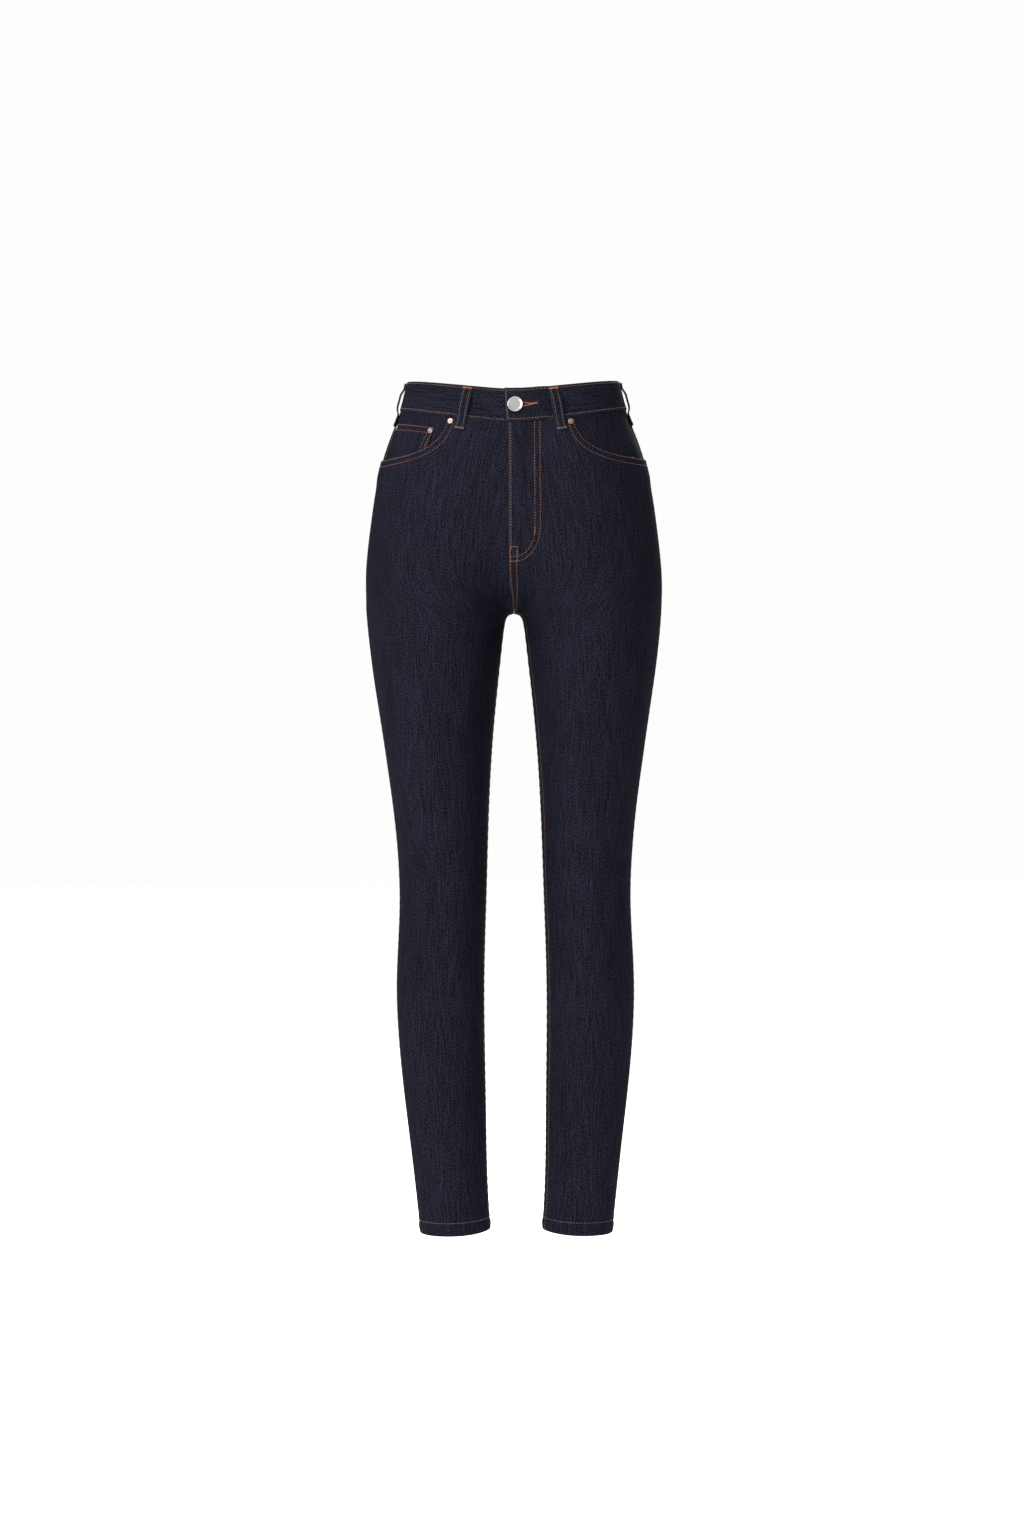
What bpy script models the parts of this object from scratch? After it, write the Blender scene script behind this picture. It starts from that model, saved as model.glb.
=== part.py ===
# Skinny jeans as worn: hollow cloth panels laid on rows of curves round the hips and legs.
# Metres, +Z up, front to -Y. The origin is the centre of the waist, halfway up the waistband at its sides.
import math

import bmesh
import bpy
import numpy as np
from mathutils import Matrix, Vector

MM = 0.001

# Cloth
WALL = 1.2 * MM
GAP = 0.3 * MM
SEAM_HALF_GAP = 0.15 * MM
CROTCH_HALF_GAP = 0.2 * MM

# Waistband
BAND_OUT = 0.8 * MM
BAND_WALL = 2.5 * MM
BAND_END_ROW = 0.985
UNDERLAP = 26 * MM
OVERLAP_EDGE = -6 * MM
OVERLAP_RISE = BAND_WALL + GAP

# Fly and front rise: the left front laps over the right front
LAP_OVER = 4.2 * MM
LAP_UNDER = 3 * MM
LAP_RISE = WALL + 0.5 * MM

# Front pockets
SCOOP_START = 68 * MM
SCOOP_ROWS = 1.44
SCOOP_POWER = 2.75
FRONT_SHIFT = 2.8 * MM
POCKET_RISE = 1.3 * MM
POCKET_RISE_FLAT = 15 * MM
POCKET_RISE_END = 34 * MM
FACING_OUT = -2.1 * MM
FACING_WALL = 1 * MM
FACING_PAST_EDGE = 0.48
FACING_INSIDE = 12 * MM
COIN_OUT = -0.6 * MM
COIN_WALL = 0.9 * MM
COIN_TOP_ROW = 1.4
COIN_PAST_EDGE = 0.2
COIN_INNER = 84.5 * MM
COIN_SIDE_MARGIN = 23 * MM
COIN_TAPER = 5 * MM

# Back yoke and patch pockets
YOKE_SIDE_ROW = 2.15
YOKE_CENTRE_ROW = 2.85
PATCH_WALL = 1.2 * MM
PATCH_GAP = 0.6 * MM
PATCH_TOP_WIDTH = 128 * MM
PATCH_LOW_WIDTH = 100 * MM
PATCH_SIDE_HEIGHT = 98 * MM
PATCH_POINT_HEIGHT = 121 * MM
PATCH_BELOW_YOKE = 20 * MM
PATCH_CENTRE = 92 * MM

# Hem
HEM_HEIGHT = 14 * MM
HEM_RISE = 0.8 * MM
HEM_WALL = 2.6 * MM

# Belt loops
LOOP_WIDTH = 11 * MM
LOOP_WALL = 1.3 * MM
LOOP_GAP = 0.6 * MM
LOOP_LENGTH = 49 * MM
LOOP_FRONT_TOP = 47.5 * MM
LOOP_STAND_FRONT = 3 * MM
LOOP_STAND_SIDE = 2.6 * MM

# Button and rivets
BUTTON_RADIUS = 8.7 * MM
BUTTON_OFFSET = 2.9 * MM
RIVET_RADIUS = 3.1 * MM

# Rows of the body, all lengths in millimetres. Row 0 is the waistband's top, row 1 the waist seam, row 8 the
# crotch and row 17 the hem. Each row runs from the inner line (the centre seam, then the inseam) through its
# foremost or rearmost point to the side seam.
CROTCH = 8
HEM = 17
HEM_START = HEM - HEM_HEIGHT / (69 * MM)
HEM_STEP = 0.02
# side x, side y, side z, front x, front y, front z, back x, back y, back z
STATIONS = {
    "waist_top": (116, 0, 14, 28, -83.5, -2.5, 34, 73.5, 15.8),
    "waist_seam": (124.3, 2, -17.5, 32, -88.5, -38.5, 42, 78.5, -17.5),
    "high_hip": (138.4, 3, -54, 42, -94.5, -71.5, 55, 96, -57),
    "belly": (150.4, 3, -98, 51, -98.5, -110, 66, 115, -99),
    "hip": (157.2, 3, -143, 63, -100, -150, 74, 126, -140),
    "fork_top": (161, 4, -176, 69, -100, -181, 79, 128, -173),
    "fork_middle": (162.8, 5, -200, 75, -99, -205, 82, 124, -200),
    "fork_low": (163, 6, -219, 80, -98, -225, 84, 115, -224),
    "crotch": (162.6, 7, -236, 84, -96, -244, 85, 104, -248),
    "under_crotch": (161.3, 7, -254, 86, -94, -262, 85, 96, -268),
    "upper_thigh": (157.4, 5, -290, 87, -90, -294, 84, 88, -300),
    "thigh": (145.5, 2, -370, 86.5, -80, -370, 82, 76, -372),
    "above_knee": (133, 0, -460, 82, -69, -460, 80, 64, -460),
    "knee": (127, -1, -555, 80, -58, -555, 79, 51, -555),
    "calf": (130.7, 5, -655, 83, -46, -655, 82, 64, -655),
    "under_calf": (124, 9, -760, 79, -38, -760, 79, 64, -760),
    "ankle": (113.6, 10, -850, 73, -33, -850, 73, 56, -850),
    "hem": (106, 9, -921, 67.5, -32, -920, 68, 52, -919),
}
# front y, front z, front turn in degrees, back y, back z, back turn
CENTRE = {
    "waist_top": (-84, -4, 0, 74, 16, 0),
    "waist_seam": (-89, -40.5, 0, 79, -17.5, 0),
    "high_hip": (-95, -75, 0, 95, -58, 0),
    "belly": (-98.5, -115, 0, 110, -100, 0),
    "hip": (-97, -152, 0, 114, -140, 0),
    "fork_top": (-88, -186, 6, 108, -174, 5),
    "fork_middle": (-70, -213, 24, 93, -204, 20),
    "fork_low": (-43, -230, 48, 60, -229, 46),
    "crotch": (8, -240, 84, 8, -240, 84),
}
# inseam x, y, z
INSEAM = {
    "crotch": (0, 8, -240),
    "under_crotch": (9.2, 8, -247),
    "upper_thigh": (14.7, 6, -290),
    "thigh": (22.9, 3, -370),
    "above_knee": (28.3, 1, -460),
    "knee": (31.4, 0, -555),
    "calf": (34.1, 5, -655),
    "under_calf": (33, 8, -760),
    "ankle": (31.7, 9, -850),
    "hem": (28.5, 9, -917),
}
RISE_END_SLOPE = {"front": (54, 0, 40), "back": (-58, 0, 42)}
INSEAM_START_SLOPE = (16, 0, 0)
FULLNESS = 0.57
FLATNESS = 0.36
SIDES = {"front": -1, "back": 1}

ROWS_DENSE = 17 * 16 + 1
COLUMNS_DENSE = 121


def spline(values, at, start=None, end=None):
    """Cubic spline through values at 0, 1, 2 ... read at the numbers in at. start and end are end slopes."""
    values = np.asarray(values, float)
    count = len(values)
    matrix = np.eye(count)
    right = np.zeros_like(values)
    for i in range(1, count - 1):
        matrix[i, i - 1 : i + 2] = (1, 4, 1)
        right[i] = 6 * (values[i + 1] - 2 * values[i] + values[i - 1])
    if start is not None:
        matrix[0, :2] = (2, 1)
        right[0] = 6 * (values[1] - values[0] - start)
    if end is not None:
        matrix[-1, -2:] = (1, 2)
        right[-1] = 6 * (end - values[-1] + values[-2])
    bends = np.linalg.solve(matrix, right)
    at = np.asarray(at, float)
    i = np.clip(np.floor(at).astype(int), 0, count - 2)
    t = (at - i)[:, None]
    a = 1 - t
    bend = ((a**3 - a) * bends[i] + (t**3 - t) * bends[i + 1]) / 6
    return a * values[i] + t * values[i + 1] + bend


def smooth(t):
    """0 below 0, 1 above 1, and an S curve between."""
    t = np.clip(t, 0, 1)
    return t * t * (3 - 2 * t)


def bezier(p0, p1, p2, p3, t):
    a = 1 - t
    return (
        a**3 * p0[:, None]
        + 3 * a * a * t * p1[:, None]
        + 3 * a * t * t * p2[:, None]
        + t**3 * p3[:, None]
    )


def row_curves(side, r):
    """Points of each row r from the inner line to the side seam, evenly spaced, and the rows' lengths."""
    sign = SIDES[side]
    stations = spline(list(STATIONS.values()), r) * MM
    seam = stations[:, 0:3]
    middle = stations[:, 3:6] if side == "front" else stations[:, 6:9]
    other = stations[:, 6:9] if side == "front" else stations[:, 3:6]
    pick = slice(0, 3) if side == "front" else slice(3, 6)
    centre_rows = np.minimum(r, CROTCH)
    slope = np.array(RISE_END_SLOPE[side], float)
    centre = spline([row[pick] for row in CENTRE.values()], centre_rows, end=slope)
    above = spline([row[pick] for row in CENTRE.values()], centre_rows - 0.02, end=slope)
    up = np.stack([0 * r, above[:, 0] - centre[:, 0], above[:, 1] - centre[:, 1]], 1)
    up /= np.linalg.norm(up, axis=1, keepdims=True)
    turn = np.radians(np.clip(centre[:, 2], 0, 90))
    inner = np.stack([0 * r, centre[:, 0], centre[:, 1]], 1) * MM
    leg = r > CROTCH
    below = np.maximum(r - CROTCH, 0)
    inseam = spline(list(INSEAM.values()), below, start=np.array(INSEAM_START_SLOPE, float)) * MM
    inner[leg] = inseam[leg]
    inner[:, 0] += CROTCH_HALF_GAP * smooth(r - CROTCH + 1)
    turn = np.where(leg, turn + (math.pi / 2 - turn) * smooth(below * 2), turn)
    up[leg] = (0, sign, 0)
    along = np.stack([np.cos(turn), 0 * r, 0 * r], 1) + np.sin(turn)[:, None] * up
    reach = middle - inner
    flat, full = np.cos(turn), np.sin(turn)
    first = FLATNESS * np.abs(reach[:, 0]) * flat + FULLNESS * np.abs(reach[:, 1]) * full
    second = (FLATNESS + (FULLNESS - FLATNESS) * full) * reach[:, 0]
    fall = 0.6 * (seam[:, 2] - inner[:, 2]) / (seam[:, 0] - inner[:, 0])
    across = np.stack([1 + 0 * r, 0 * r, fall], 1)
    fall = 0.5 * (middle[:, 2] - other[:, 2]) / (middle[:, 1] - other[:, 1])
    round_side = np.stack([0 * r, 1 + 0 * r, fall], 1)
    t = np.linspace(0, 1, 41)[None, :, None]
    inward = bezier(inner, inner + first[:, None] * along, middle - second[:, None] * across, middle, t)
    third = FULLNESS * (seam[:, 0] - middle[:, 0])
    fourth = FULLNESS * np.abs(seam[:, 1] - middle[:, 1])
    outward = bezier(
        middle, middle + third[:, None] * across, seam + sign * fourth[:, None] * round_side, seam, t
    )
    points = np.concatenate([inward, outward[:, 1:]], 1)
    steps = np.linalg.norm(np.diff(points, axis=1), axis=2)
    run = np.concatenate([np.zeros((len(r), 1)), np.cumsum(steps, 1)], 1)
    even = np.empty((len(r), COLUMNS_DENSE, 3))
    for k in range(len(r)):
        wanted = np.linspace(0, run[k, -1], COLUMNS_DENSE)
        for axis in range(3):
            even[k, :, axis] = np.interp(wanted, run[k], points[k, :, axis])
    return even, run[:, -1]


def soften(points, r):
    """Rounds off, away from the inner line, the crease that the row through the crotch would leave."""
    soft = points.copy()
    for _ in range(70):
        soft[1:-1] += (soft[:-2] + soft[2:] - 2 * soft[1:-1]) / 4
    near = smooth((r - 5.5) / 1.2) * (1 - smooth((r - 9.6) / 1.4))
    across = smooth(np.linspace(0, 1, COLUMNS_DENSE) / 0.12)
    return points + (near[:, None] * across)[:, :, None] * (soft - points)


def body_grids():
    """For front and back: dense points and normals of the outer cloth surface, and the rows' lengths."""
    r = np.linspace(0, HEM, ROWS_DENSE)
    grids = {}
    for side, sign in SIDES.items():
        points, lengths = row_curves(side, r)
        points = soften(points, r)
        normals = np.cross(np.gradient(points, axis=1), np.gradient(points, axis=0))
        normals *= sign
        grids[side] = [points, normals, lengths]
    for side in SIDES:
        torso = r <= CROTCH
        grids[side][1][torso, 0, 0] = 0
    front, back = grids["front"][1], grids["back"][1]
    for column, rows in ((-1, slice(None)), (0, r > CROTCH)):
        edges = [side_normals[rows, column] for side_normals in (front, back)]
        shared = sum(edge / np.linalg.norm(edge, axis=1, keepdims=True) for edge in edges)
        front[rows, column] = back[rows, column] = shared
    for side in SIDES:
        grids[side][1] /= np.linalg.norm(grids[side][1], axis=2, keepdims=True)
    return grids


GRIDS = body_grids()


def base(side, u, r):
    """Point and normal at fraction u of row r, from the inner line to the side seam, or past the centre."""
    points, normals, _ = GRIDS[side]
    column = min(abs(u), 1) * (COLUMNS_DENSE - 1)
    row = min(max(r, 0), HEM) / HEM * (ROWS_DENSE - 1)
    i, j = min(int(column), COLUMNS_DENSE - 2), min(int(row), ROWS_DENSE - 2)
    a, b = column - i, row - j
    corners = ((j, i, (1 - a) * (1 - b)), (j, i + 1, a * (1 - b)))
    corners += ((j + 1, i, (1 - a) * b), (j + 1, i + 1, a * b))
    point = sum(points[y, x] * share for y, x, share in corners)
    normal = sum(normals[y, x] * share for y, x, share in corners)
    flip = np.array((-1 if u < 0 else 1, 1, 1))
    return point * flip, normal * flip / np.linalg.norm(normal)


def length(side, r):
    """Length of row r from the inner line to the side seam."""
    return float(np.interp(r, np.linspace(0, HEM, ROWS_DENSE), GRIDS[side][2]))


def fraction_at(side, x, r):
    """Fraction along row r where the cloth is this far from the centre line."""
    fractions = np.linspace(0, 1, COLUMNS_DENSE)
    return float(np.interp(x, [base(side, u, r)[0][0] for u in fractions], fractions))


def row_below(side, u, r, distance):
    """The row that lies this distance further down the column u."""
    rows = np.linspace(r, min(r + 9, HEM), 90)
    points = np.array([base(side, u, row)[0] for row in rows])
    run = np.concatenate([[0], np.cumsum(np.linalg.norm(np.diff(points, axis=0), axis=1))])
    return float(np.interp(distance, run, rows))


def ring(s, r):
    """Point and normal on the loop round the waist: s is 0 at the centre front, 1 at the left side seam, 2 at
    the centre back, 3 at the right side seam and 4 at the centre front again."""
    if s <= 1:
        return base("front", s, r)
    if s <= 3:
        return base("back", 2 - s, r)
    return base("front", s - 4, r)


def material(name, colour, roughness, metallic=0.0):
    made = bpy.data.materials.new(name)
    made.use_nodes = True
    shader = made.node_tree.nodes["Principled BSDF"]
    shader.inputs["Base Color"].default_value = (*colour, 1)
    shader.inputs["Roughness"].default_value = roughness
    shader.inputs["Metallic"].default_value = metallic
    made.diffuse_color = (*colour, 1)
    return made


def shell(name, columns, rows, place, paint, group):
    """A grid extruded to the cloth's thickness: place(i, j) gives each crossing's outer and inner point."""
    bm = bmesh.new()
    bmesh.ops.create_grid(bm, x_segments=columns, y_segments=rows, size=0.5)
    bm.verts.ensure_lookup_table()
    number = bm.verts.layers.int.new("crossing")
    for k, vertex in enumerate(bm.verts):
        vertex[number] = k
    grown = bmesh.ops.extrude_face_region(bm, geom=bm.faces[:])["geom"]
    inner = {element for element in grown if isinstance(element, bmesh.types.BMVert)}
    for vertex in bm.verts:
        j, i = divmod(vertex[number], columns + 1)
        outer_point, inner_point = place(i, j)
        vertex.co = inner_point if vertex in inner else outer_point
    bm.verts.layers.int.remove(number)
    bmesh.ops.recalc_face_normals(bm, faces=bm.faces[:])
    if bm.calc_volume(signed=True) < 0:
        bmesh.ops.reverse_faces(bm, faces=bm.faces[:])
    mesh = bpy.data.meshes.new(name)
    bm.to_mesh(mesh)
    bm.free()
    mesh.materials.append(paint)
    obj = bpy.data.objects.new(name, mesh)
    group.objects.link(obj)
    return obj


def both_faces(side, u, r, level, wall, mirror=False):
    """Outer and inner point of cloth at this level above the base surface."""
    point, normal = base(side, u, r)
    flip = np.array((-1 if mirror else 1, 1, 1))
    return (point + normal * level) * flip, (point + normal * (level - wall)) * flip


def scoop_start(mirror):
    """Fraction along the row where the pocket edge leaves the waistband."""
    return fraction_at("front", SCOOP_START + (FRONT_SHIFT if mirror else -FRONT_SHIFT), 1.1)


def top_row(u, start):
    """Row of the front panel's top edge: the waist seam, then the pocket's scooped edge."""
    if u <= start:
        return 1.0
    t = (u - start) / (1 - start)
    return 1 + SCOOP_ROWS * (1 - (1 - min(t, 1)) ** SCOOP_POWER) ** (1 / SCOOP_POWER)


def scoop_columns(start):
    """Fractions along the row from the scoop's start to the side seam, closest where the edge is steepest."""
    return [start + (1 - start) * (k / 10) ** 1.6 for k in range(11)]


def scoop_edge(mirror):
    start = scoop_start(mirror)
    return np.array([base("front", u, top_row(u, start))[0] for u in np.linspace(start, 1, 60)])


SCOOP_EDGES = {mirror: scoop_edge(mirror) for mirror in (False, True)}


def front_rise(u, r, mirror):
    """How far a front panel stands out where it laps at the fly and where the pocket lies under its edge."""
    rise = 0.0
    if not mirror:
        raised = 1 - float(smooth((r - CROTCH + 1) / 0.9))
        across = u * length("front", r)
        rise += LAP_RISE * raised * (1 - float(smooth((across - 7 * MM) / (14 * MM))))
    if r < 4.5:
        away = float(np.min(np.linalg.norm(SCOOP_EDGES[mirror] - base("front", u, r)[0], axis=1)))
        fade = (away - POCKET_RISE_FLAT) / (POCKET_RISE_END - POCKET_RISE_FLAT)
        rise += POCKET_RISE * (1 - float(smooth(fade)))
    return rise


def hem_levels(r):
    """How far the hem stands out, and how thick it is, at row r."""
    up = float(smooth((r - HEM_START) / HEM_STEP))
    return HEM_RISE * up, WALL + (HEM_WALL - WALL) * up


def leg_rows(first, relax):
    """Rows of a leg panel: closer at the fork and at the hem's step."""
    rows = [first + (relax - first) * f for f in (0, 0.09, 0.2, 0.34, 0.5, 0.7, 1)]
    rows += [r for r in np.arange(relax + 0.5, CROTCH + 1.01, 0.5)]
    rows += [CROTCH + step for step in (1.5, 2, 3, 4, 4.5, 5, 5.5, 6, 6.5, 7, 8)]
    rows += [HEM_START, HEM_START + HEM_STEP, HEM]
    return rows


def make_front(name, mirror, paint, group):
    start = scoop_start(mirror)
    fractions = [start * f for f in (0.0, 0.08, 0.2, 0.42, 0.68, 0.9, 0.985)]
    fractions += scoop_columns(start)
    relax = 4.5

    def place(i, j):
        fraction = fractions[i]
        first = top_row(fraction, start)
        r = leg_rows(first, relax)[j]
        run = length("front", r)
        over = 1 - float(smooth((r - CROTCH + 1.8) / 0.8))
        past_centre = LAP_UNDER if mirror else LAP_OVER
        low = (SEAM_HALF_GAP * (1 - over) - past_centre * over) / run
        high = 1 - SEAM_HALF_GAP / run
        u = low + (high - low) * fraction
        level, wall = hem_levels(r)
        return both_faces("front", u, r, level + front_rise(u, r, mirror), wall, mirror)

    return shell(name, len(fractions) - 1, len(leg_rows(1, relax)) - 1, place, paint, group)


def yoke_row(u):
    """Row of the seam under the yoke, from the centre back to the side seam."""
    return YOKE_CENTRE_ROW + (YOKE_SIDE_ROW - YOKE_CENTRE_ROW) * u


def make_back(name, mirror, paint, group):
    columns = 15
    relax = 5.0

    def place(i, j):
        fraction = i / columns
        r = leg_rows(yoke_row(fraction) + GAP / (40 * MM), relax)[j]
        run = length("back", r)
        low = SEAM_HALF_GAP / run
        u = low + (1 - 2 * low) * fraction
        level, wall = hem_levels(r)
        return both_faces("back", u, r, level, wall, mirror)

    return shell(name, columns, len(leg_rows(1, relax)) - 1, place, paint, group)


def make_yoke(name, mirror, paint, group):
    columns, rows = 15, 3

    def place(i, j):
        fraction = i / columns
        r = 1 + (yoke_row(fraction) - 1) * j / rows
        run = length("back", r)
        low = SEAM_HALF_GAP / run
        return both_faces("back", low + (1 - 2 * low) * fraction, r, 0, WALL, mirror)

    return shell(name, columns, rows, place, paint, group)


def make_facing(name, mirror, paint, group):
    start = scoop_start(mirror)
    first = start - FACING_INSIDE / length("front", 1)
    fractions = [first, (first + start) / 2] + scoop_columns(start)
    rows = 5

    def place(i, j):
        fraction = fractions[i]
        last = top_row(fraction, start) + FACING_PAST_EDGE
        r = 1 + (last - 1) * j / rows
        u = fraction * (1 - SEAM_HALF_GAP / length("front", r))
        return both_faces("front", u, r, FACING_OUT, FACING_WALL, mirror)

    return shell(name, len(fractions) - 1, rows, place, paint, group)


def make_coin_pocket(name, paint, group):
    start = scoop_start(True)
    run = length("front", COIN_TOP_ROW)
    first, last = fraction_at("front", COIN_INNER, COIN_TOP_ROW), 1 - COIN_SIDE_MARGIN / run
    columns, rows = 12, 4

    def place(i, j):
        inner = first + COIN_TAPER / run * j / rows
        u = inner + (last - inner) * i / columns
        r = COIN_TOP_ROW + (top_row(u, start) + COIN_PAST_EDGE - COIN_TOP_ROW) * j / rows
        return both_faces("front", u, r, COIN_OUT, COIN_WALL, True)

    return shell(name, columns, rows, place, paint, group)


def make_patch(name, mirror, paint, group):
    columns, rows = 12, 11

    def place(i, j):
        across = 2 * i / columns - 1
        down = j / rows
        width = PATCH_TOP_WIDTH + (PATCH_LOW_WIDTH - PATCH_TOP_WIDTH) * down
        middle = PATCH_CENTRE / length("back", 3)
        u_top = middle + across * PATCH_TOP_WIDTH / 2 / length("back", 3)
        top = row_below("back", u_top, yoke_row(u_top), PATCH_BELOW_YOKE)
        height = PATCH_SIDE_HEIGHT + (PATCH_POINT_HEIGHT - PATCH_SIDE_HEIGHT) * (1 - abs(across))
        r = row_below("back", u_top, top, height * down)
        u = PATCH_CENTRE / length("back", r) + across * width / 2 / length("back", r)
        return both_faces("back", u, r, PATCH_GAP + PATCH_WALL, PATCH_WALL, mirror)

    return shell(name, columns, rows, place, paint, group)


def band_rise(s):
    """How far the waistband's left end stands out over its right end."""
    run = length("front", 0.5)
    return OVERLAP_RISE * (1 - float(smooth((s * run - UNDERLAP - 2 * MM) / (14 * MM)))) if s < 2 else 0.0


def make_band(name, paint, group):
    run = length("front", 0.5)
    first, last = OVERLAP_EDGE / run, 4 + UNDERLAP / run
    stops = [first, 0.0, UNDERLAP / run, (UNDERLAP + 2 * MM) / run]
    stops += [(UNDERLAP + 9 * MM) / run, (UNDERLAP + 16 * MM) / run]
    stops += list(np.linspace(stops[-1], 4, 58)[1:]) + [4 + UNDERLAP / run / 2, last]
    rows = 3

    def place(i, j):
        r = BAND_END_ROW * j / rows
        point, normal = ring(stops[i], r)
        level = BAND_OUT + band_rise(stops[i])
        return point + normal * level, point + normal * (level - BAND_WALL)

    return shell(name, len(stops) - 1, rows, place, paint, group)


def make_loop(name, s_top, stand, paint, group):
    """A belt loop: bar-tacked on the waistband's top edge and under its bottom edge, and free between."""
    side = "back" if 1.5 < s_top < 2.5 else "front"
    u_top = abs(2 - s_top) if side == "back" else min(abs(s_top), abs(4 - s_top), 1)
    columns, rows = 2, 13

    def place(i, j):
        along = j / rows
        r = row_below(side, u_top, 0.04, LOOP_LENGTH * along)
        run = length(side, r)
        s = s_top + (i / columns - 0.5) * LOOP_WIDTH / run
        point, normal = ring(s, r)
        on_band = 1 - float(smooth((r - 0.98) / 0.12))
        u = min(s, 4 - s)
        under = front_rise(u, max(r, 1), s > 2) * float(smooth((r - 0.8) / 0.2)) if u <= 1 else 0.0
        seat = max((BAND_OUT + band_rise(s)) * on_band, under) + LOOP_GAP
        free = float(smooth((along - 0.1) / 0.2)) * float(smooth((0.76 - along) / 0.24))
        level = seat + stand * free
        return point + normal * (level + LOOP_WALL), point + normal * level

    return shell(name, columns, rows, place, paint, group)


def turned(name, profile, point, normal, level, paint, group):
    """A profile of (radius, height) turned round its axis and set on the cloth."""
    mesh = bpy.data.meshes.new(name)
    edges = [(k, k + 1) for k in range(len(profile) - 1)]
    mesh.from_pydata([(radius, 0, height) for radius, height in profile], edges, [])
    mesh.materials.append(paint)
    obj = bpy.data.objects.new(name, mesh)
    group.objects.link(obj)
    screw = obj.modifiers.new("turn", "SCREW")
    screw.steps = screw.render_steps = 24
    screw.use_merge_vertices = True
    screw.merge_threshold = 0.00001
    screw.use_normal_calculate = True
    axis = Vector(normal)
    place = Vector(point) + axis * level
    obj.matrix_world = Matrix.Translation(place) @ axis.to_track_quat("Z", "Y").to_matrix().to_4x4()
    return obj


def clear_scene():
    for obj in list(bpy.data.objects):
        bpy.data.objects.remove(obj, do_unlink=True)


def main():
    clear_scene()
    group = bpy.data.collections.new("skinny_jeans")
    bpy.context.scene.collection.children.link(group)
    denim = material("dark indigo stretch denim", (0.014, 0.015, 0.028), 0.85)
    steel = material("brushed nickel", (0.55, 0.55, 0.53), 0.35, 1.0)
    copper = material("antique copper", (0.42, 0.26, 0.18), 0.4, 1.0)

    make_front("front_left", False, denim, group)
    make_front("front_right", True, denim, group)
    make_back("back_left", False, denim, group)
    make_back("back_right", True, denim, group)
    make_yoke("yoke_left", False, denim, group)
    make_yoke("yoke_right", True, denim, group)
    make_facing("pocket_facing_left", False, denim, group)
    make_facing("pocket_facing_right", True, denim, group)
    make_coin_pocket("coin_pocket", denim, group)
    make_patch("back_pocket_left", False, denim, group)
    make_patch("back_pocket_right", True, denim, group)
    make_band("waistband", denim, group)

    run = length("front", 0)
    loops = (
        ("belt_loop_front_left", (LOOP_FRONT_TOP - FRONT_SHIFT) / run, LOOP_STAND_FRONT),
        ("belt_loop_front_right", 4 - (LOOP_FRONT_TOP + FRONT_SHIFT) / run, LOOP_STAND_FRONT),
        ("belt_loop_side_left", 1.0, LOOP_STAND_SIDE),
        ("belt_loop_side_right", 3.0, LOOP_STAND_SIDE),
        ("belt_loop_back", 2.0, LOOP_STAND_FRONT),
    )
    for name, s_top, stand in loops:
        make_loop(name, s_top, stand, denim, group)

    rim = BUTTON_RADIUS
    button = [
        (0, 0), (3 * MM, 0), (3 * MM, 1.1 * MM), (rim - 0.5 * MM, 1.1 * MM), (rim, 1.7 * MM), (rim, 2.6 * MM),
        (rim - 0.5 * MM, 3.1 * MM), (rim - 1.1 * MM, 3.1 * MM), (rim - 1.6 * MM, 2.6 * MM), (0, 2.6 * MM),
    ]
    point, normal = ring(BUTTON_OFFSET / length("front", 0.5), 0.5)
    turned("button", button, point, normal, BAND_OUT + OVERLAP_RISE + GAP, steel, group)
    small = RIVET_RADIUS
    rivet = [
        (0, 0), (small, 0), (small, 0.3 * MM), (small - 0.35 * MM, 0.65 * MM), (small - 1.1 * MM, 0.7 * MM),
        (1.3 * MM, 0.95 * MM), (0.7 * MM, 1.3 * MM), (0, 1.4 * MM),
    ]
    for name, mirror in (("rivet_left", False), ("rivet_right", True)):
        u = scoop_start(mirror) - 4.6 * MM / length("front", 1)
        point, normal = base("front", u, 1.16)
        flip = np.array((-1 if mirror else 1, 1, 1))
        turned(name, rivet, point * flip, normal * flip, POCKET_RISE + GAP, copper, group)
    run = length("front", COIN_TOP_ROW)
    flip = np.array((-1, 1, 1))
    for name, u in (
        ("rivet_coin_inner", fraction_at("front", COIN_INNER, COIN_TOP_ROW) + 4.6 * MM / run),
        ("rivet_coin_outer", 1 - (COIN_SIDE_MARGIN + 4.6 * MM) / run),
    ):
        point, normal = base("front", u, COIN_TOP_ROW + 0.12)
        turned(name, rivet, point * flip, normal * flip, COIN_OUT + GAP, copper, group)


main()
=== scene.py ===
import math

import bmesh
import bpy
import numpy as np
from bpy.props import FloatProperty, FloatVectorProperty, IntProperty, PointerProperty
from bpy.types import Operator, Panel, PropertyGroup
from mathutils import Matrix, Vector


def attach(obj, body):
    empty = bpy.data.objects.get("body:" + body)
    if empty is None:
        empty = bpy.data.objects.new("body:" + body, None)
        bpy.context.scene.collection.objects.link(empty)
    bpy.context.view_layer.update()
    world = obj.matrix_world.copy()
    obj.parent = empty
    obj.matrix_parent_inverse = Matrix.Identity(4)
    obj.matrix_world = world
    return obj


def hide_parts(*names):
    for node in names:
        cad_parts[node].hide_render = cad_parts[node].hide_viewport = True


bl_info = {
    "name": "Skinny jeans",
    "version": (1, 0, 0),
    "blender": (4, 5, 0),
    "location": "View3D > Sidebar > Jeans",
    "description": "Dresses the packed jeans in denim, topstitching, a button and rivets",
    "category": "Add Mesh",
}

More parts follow.
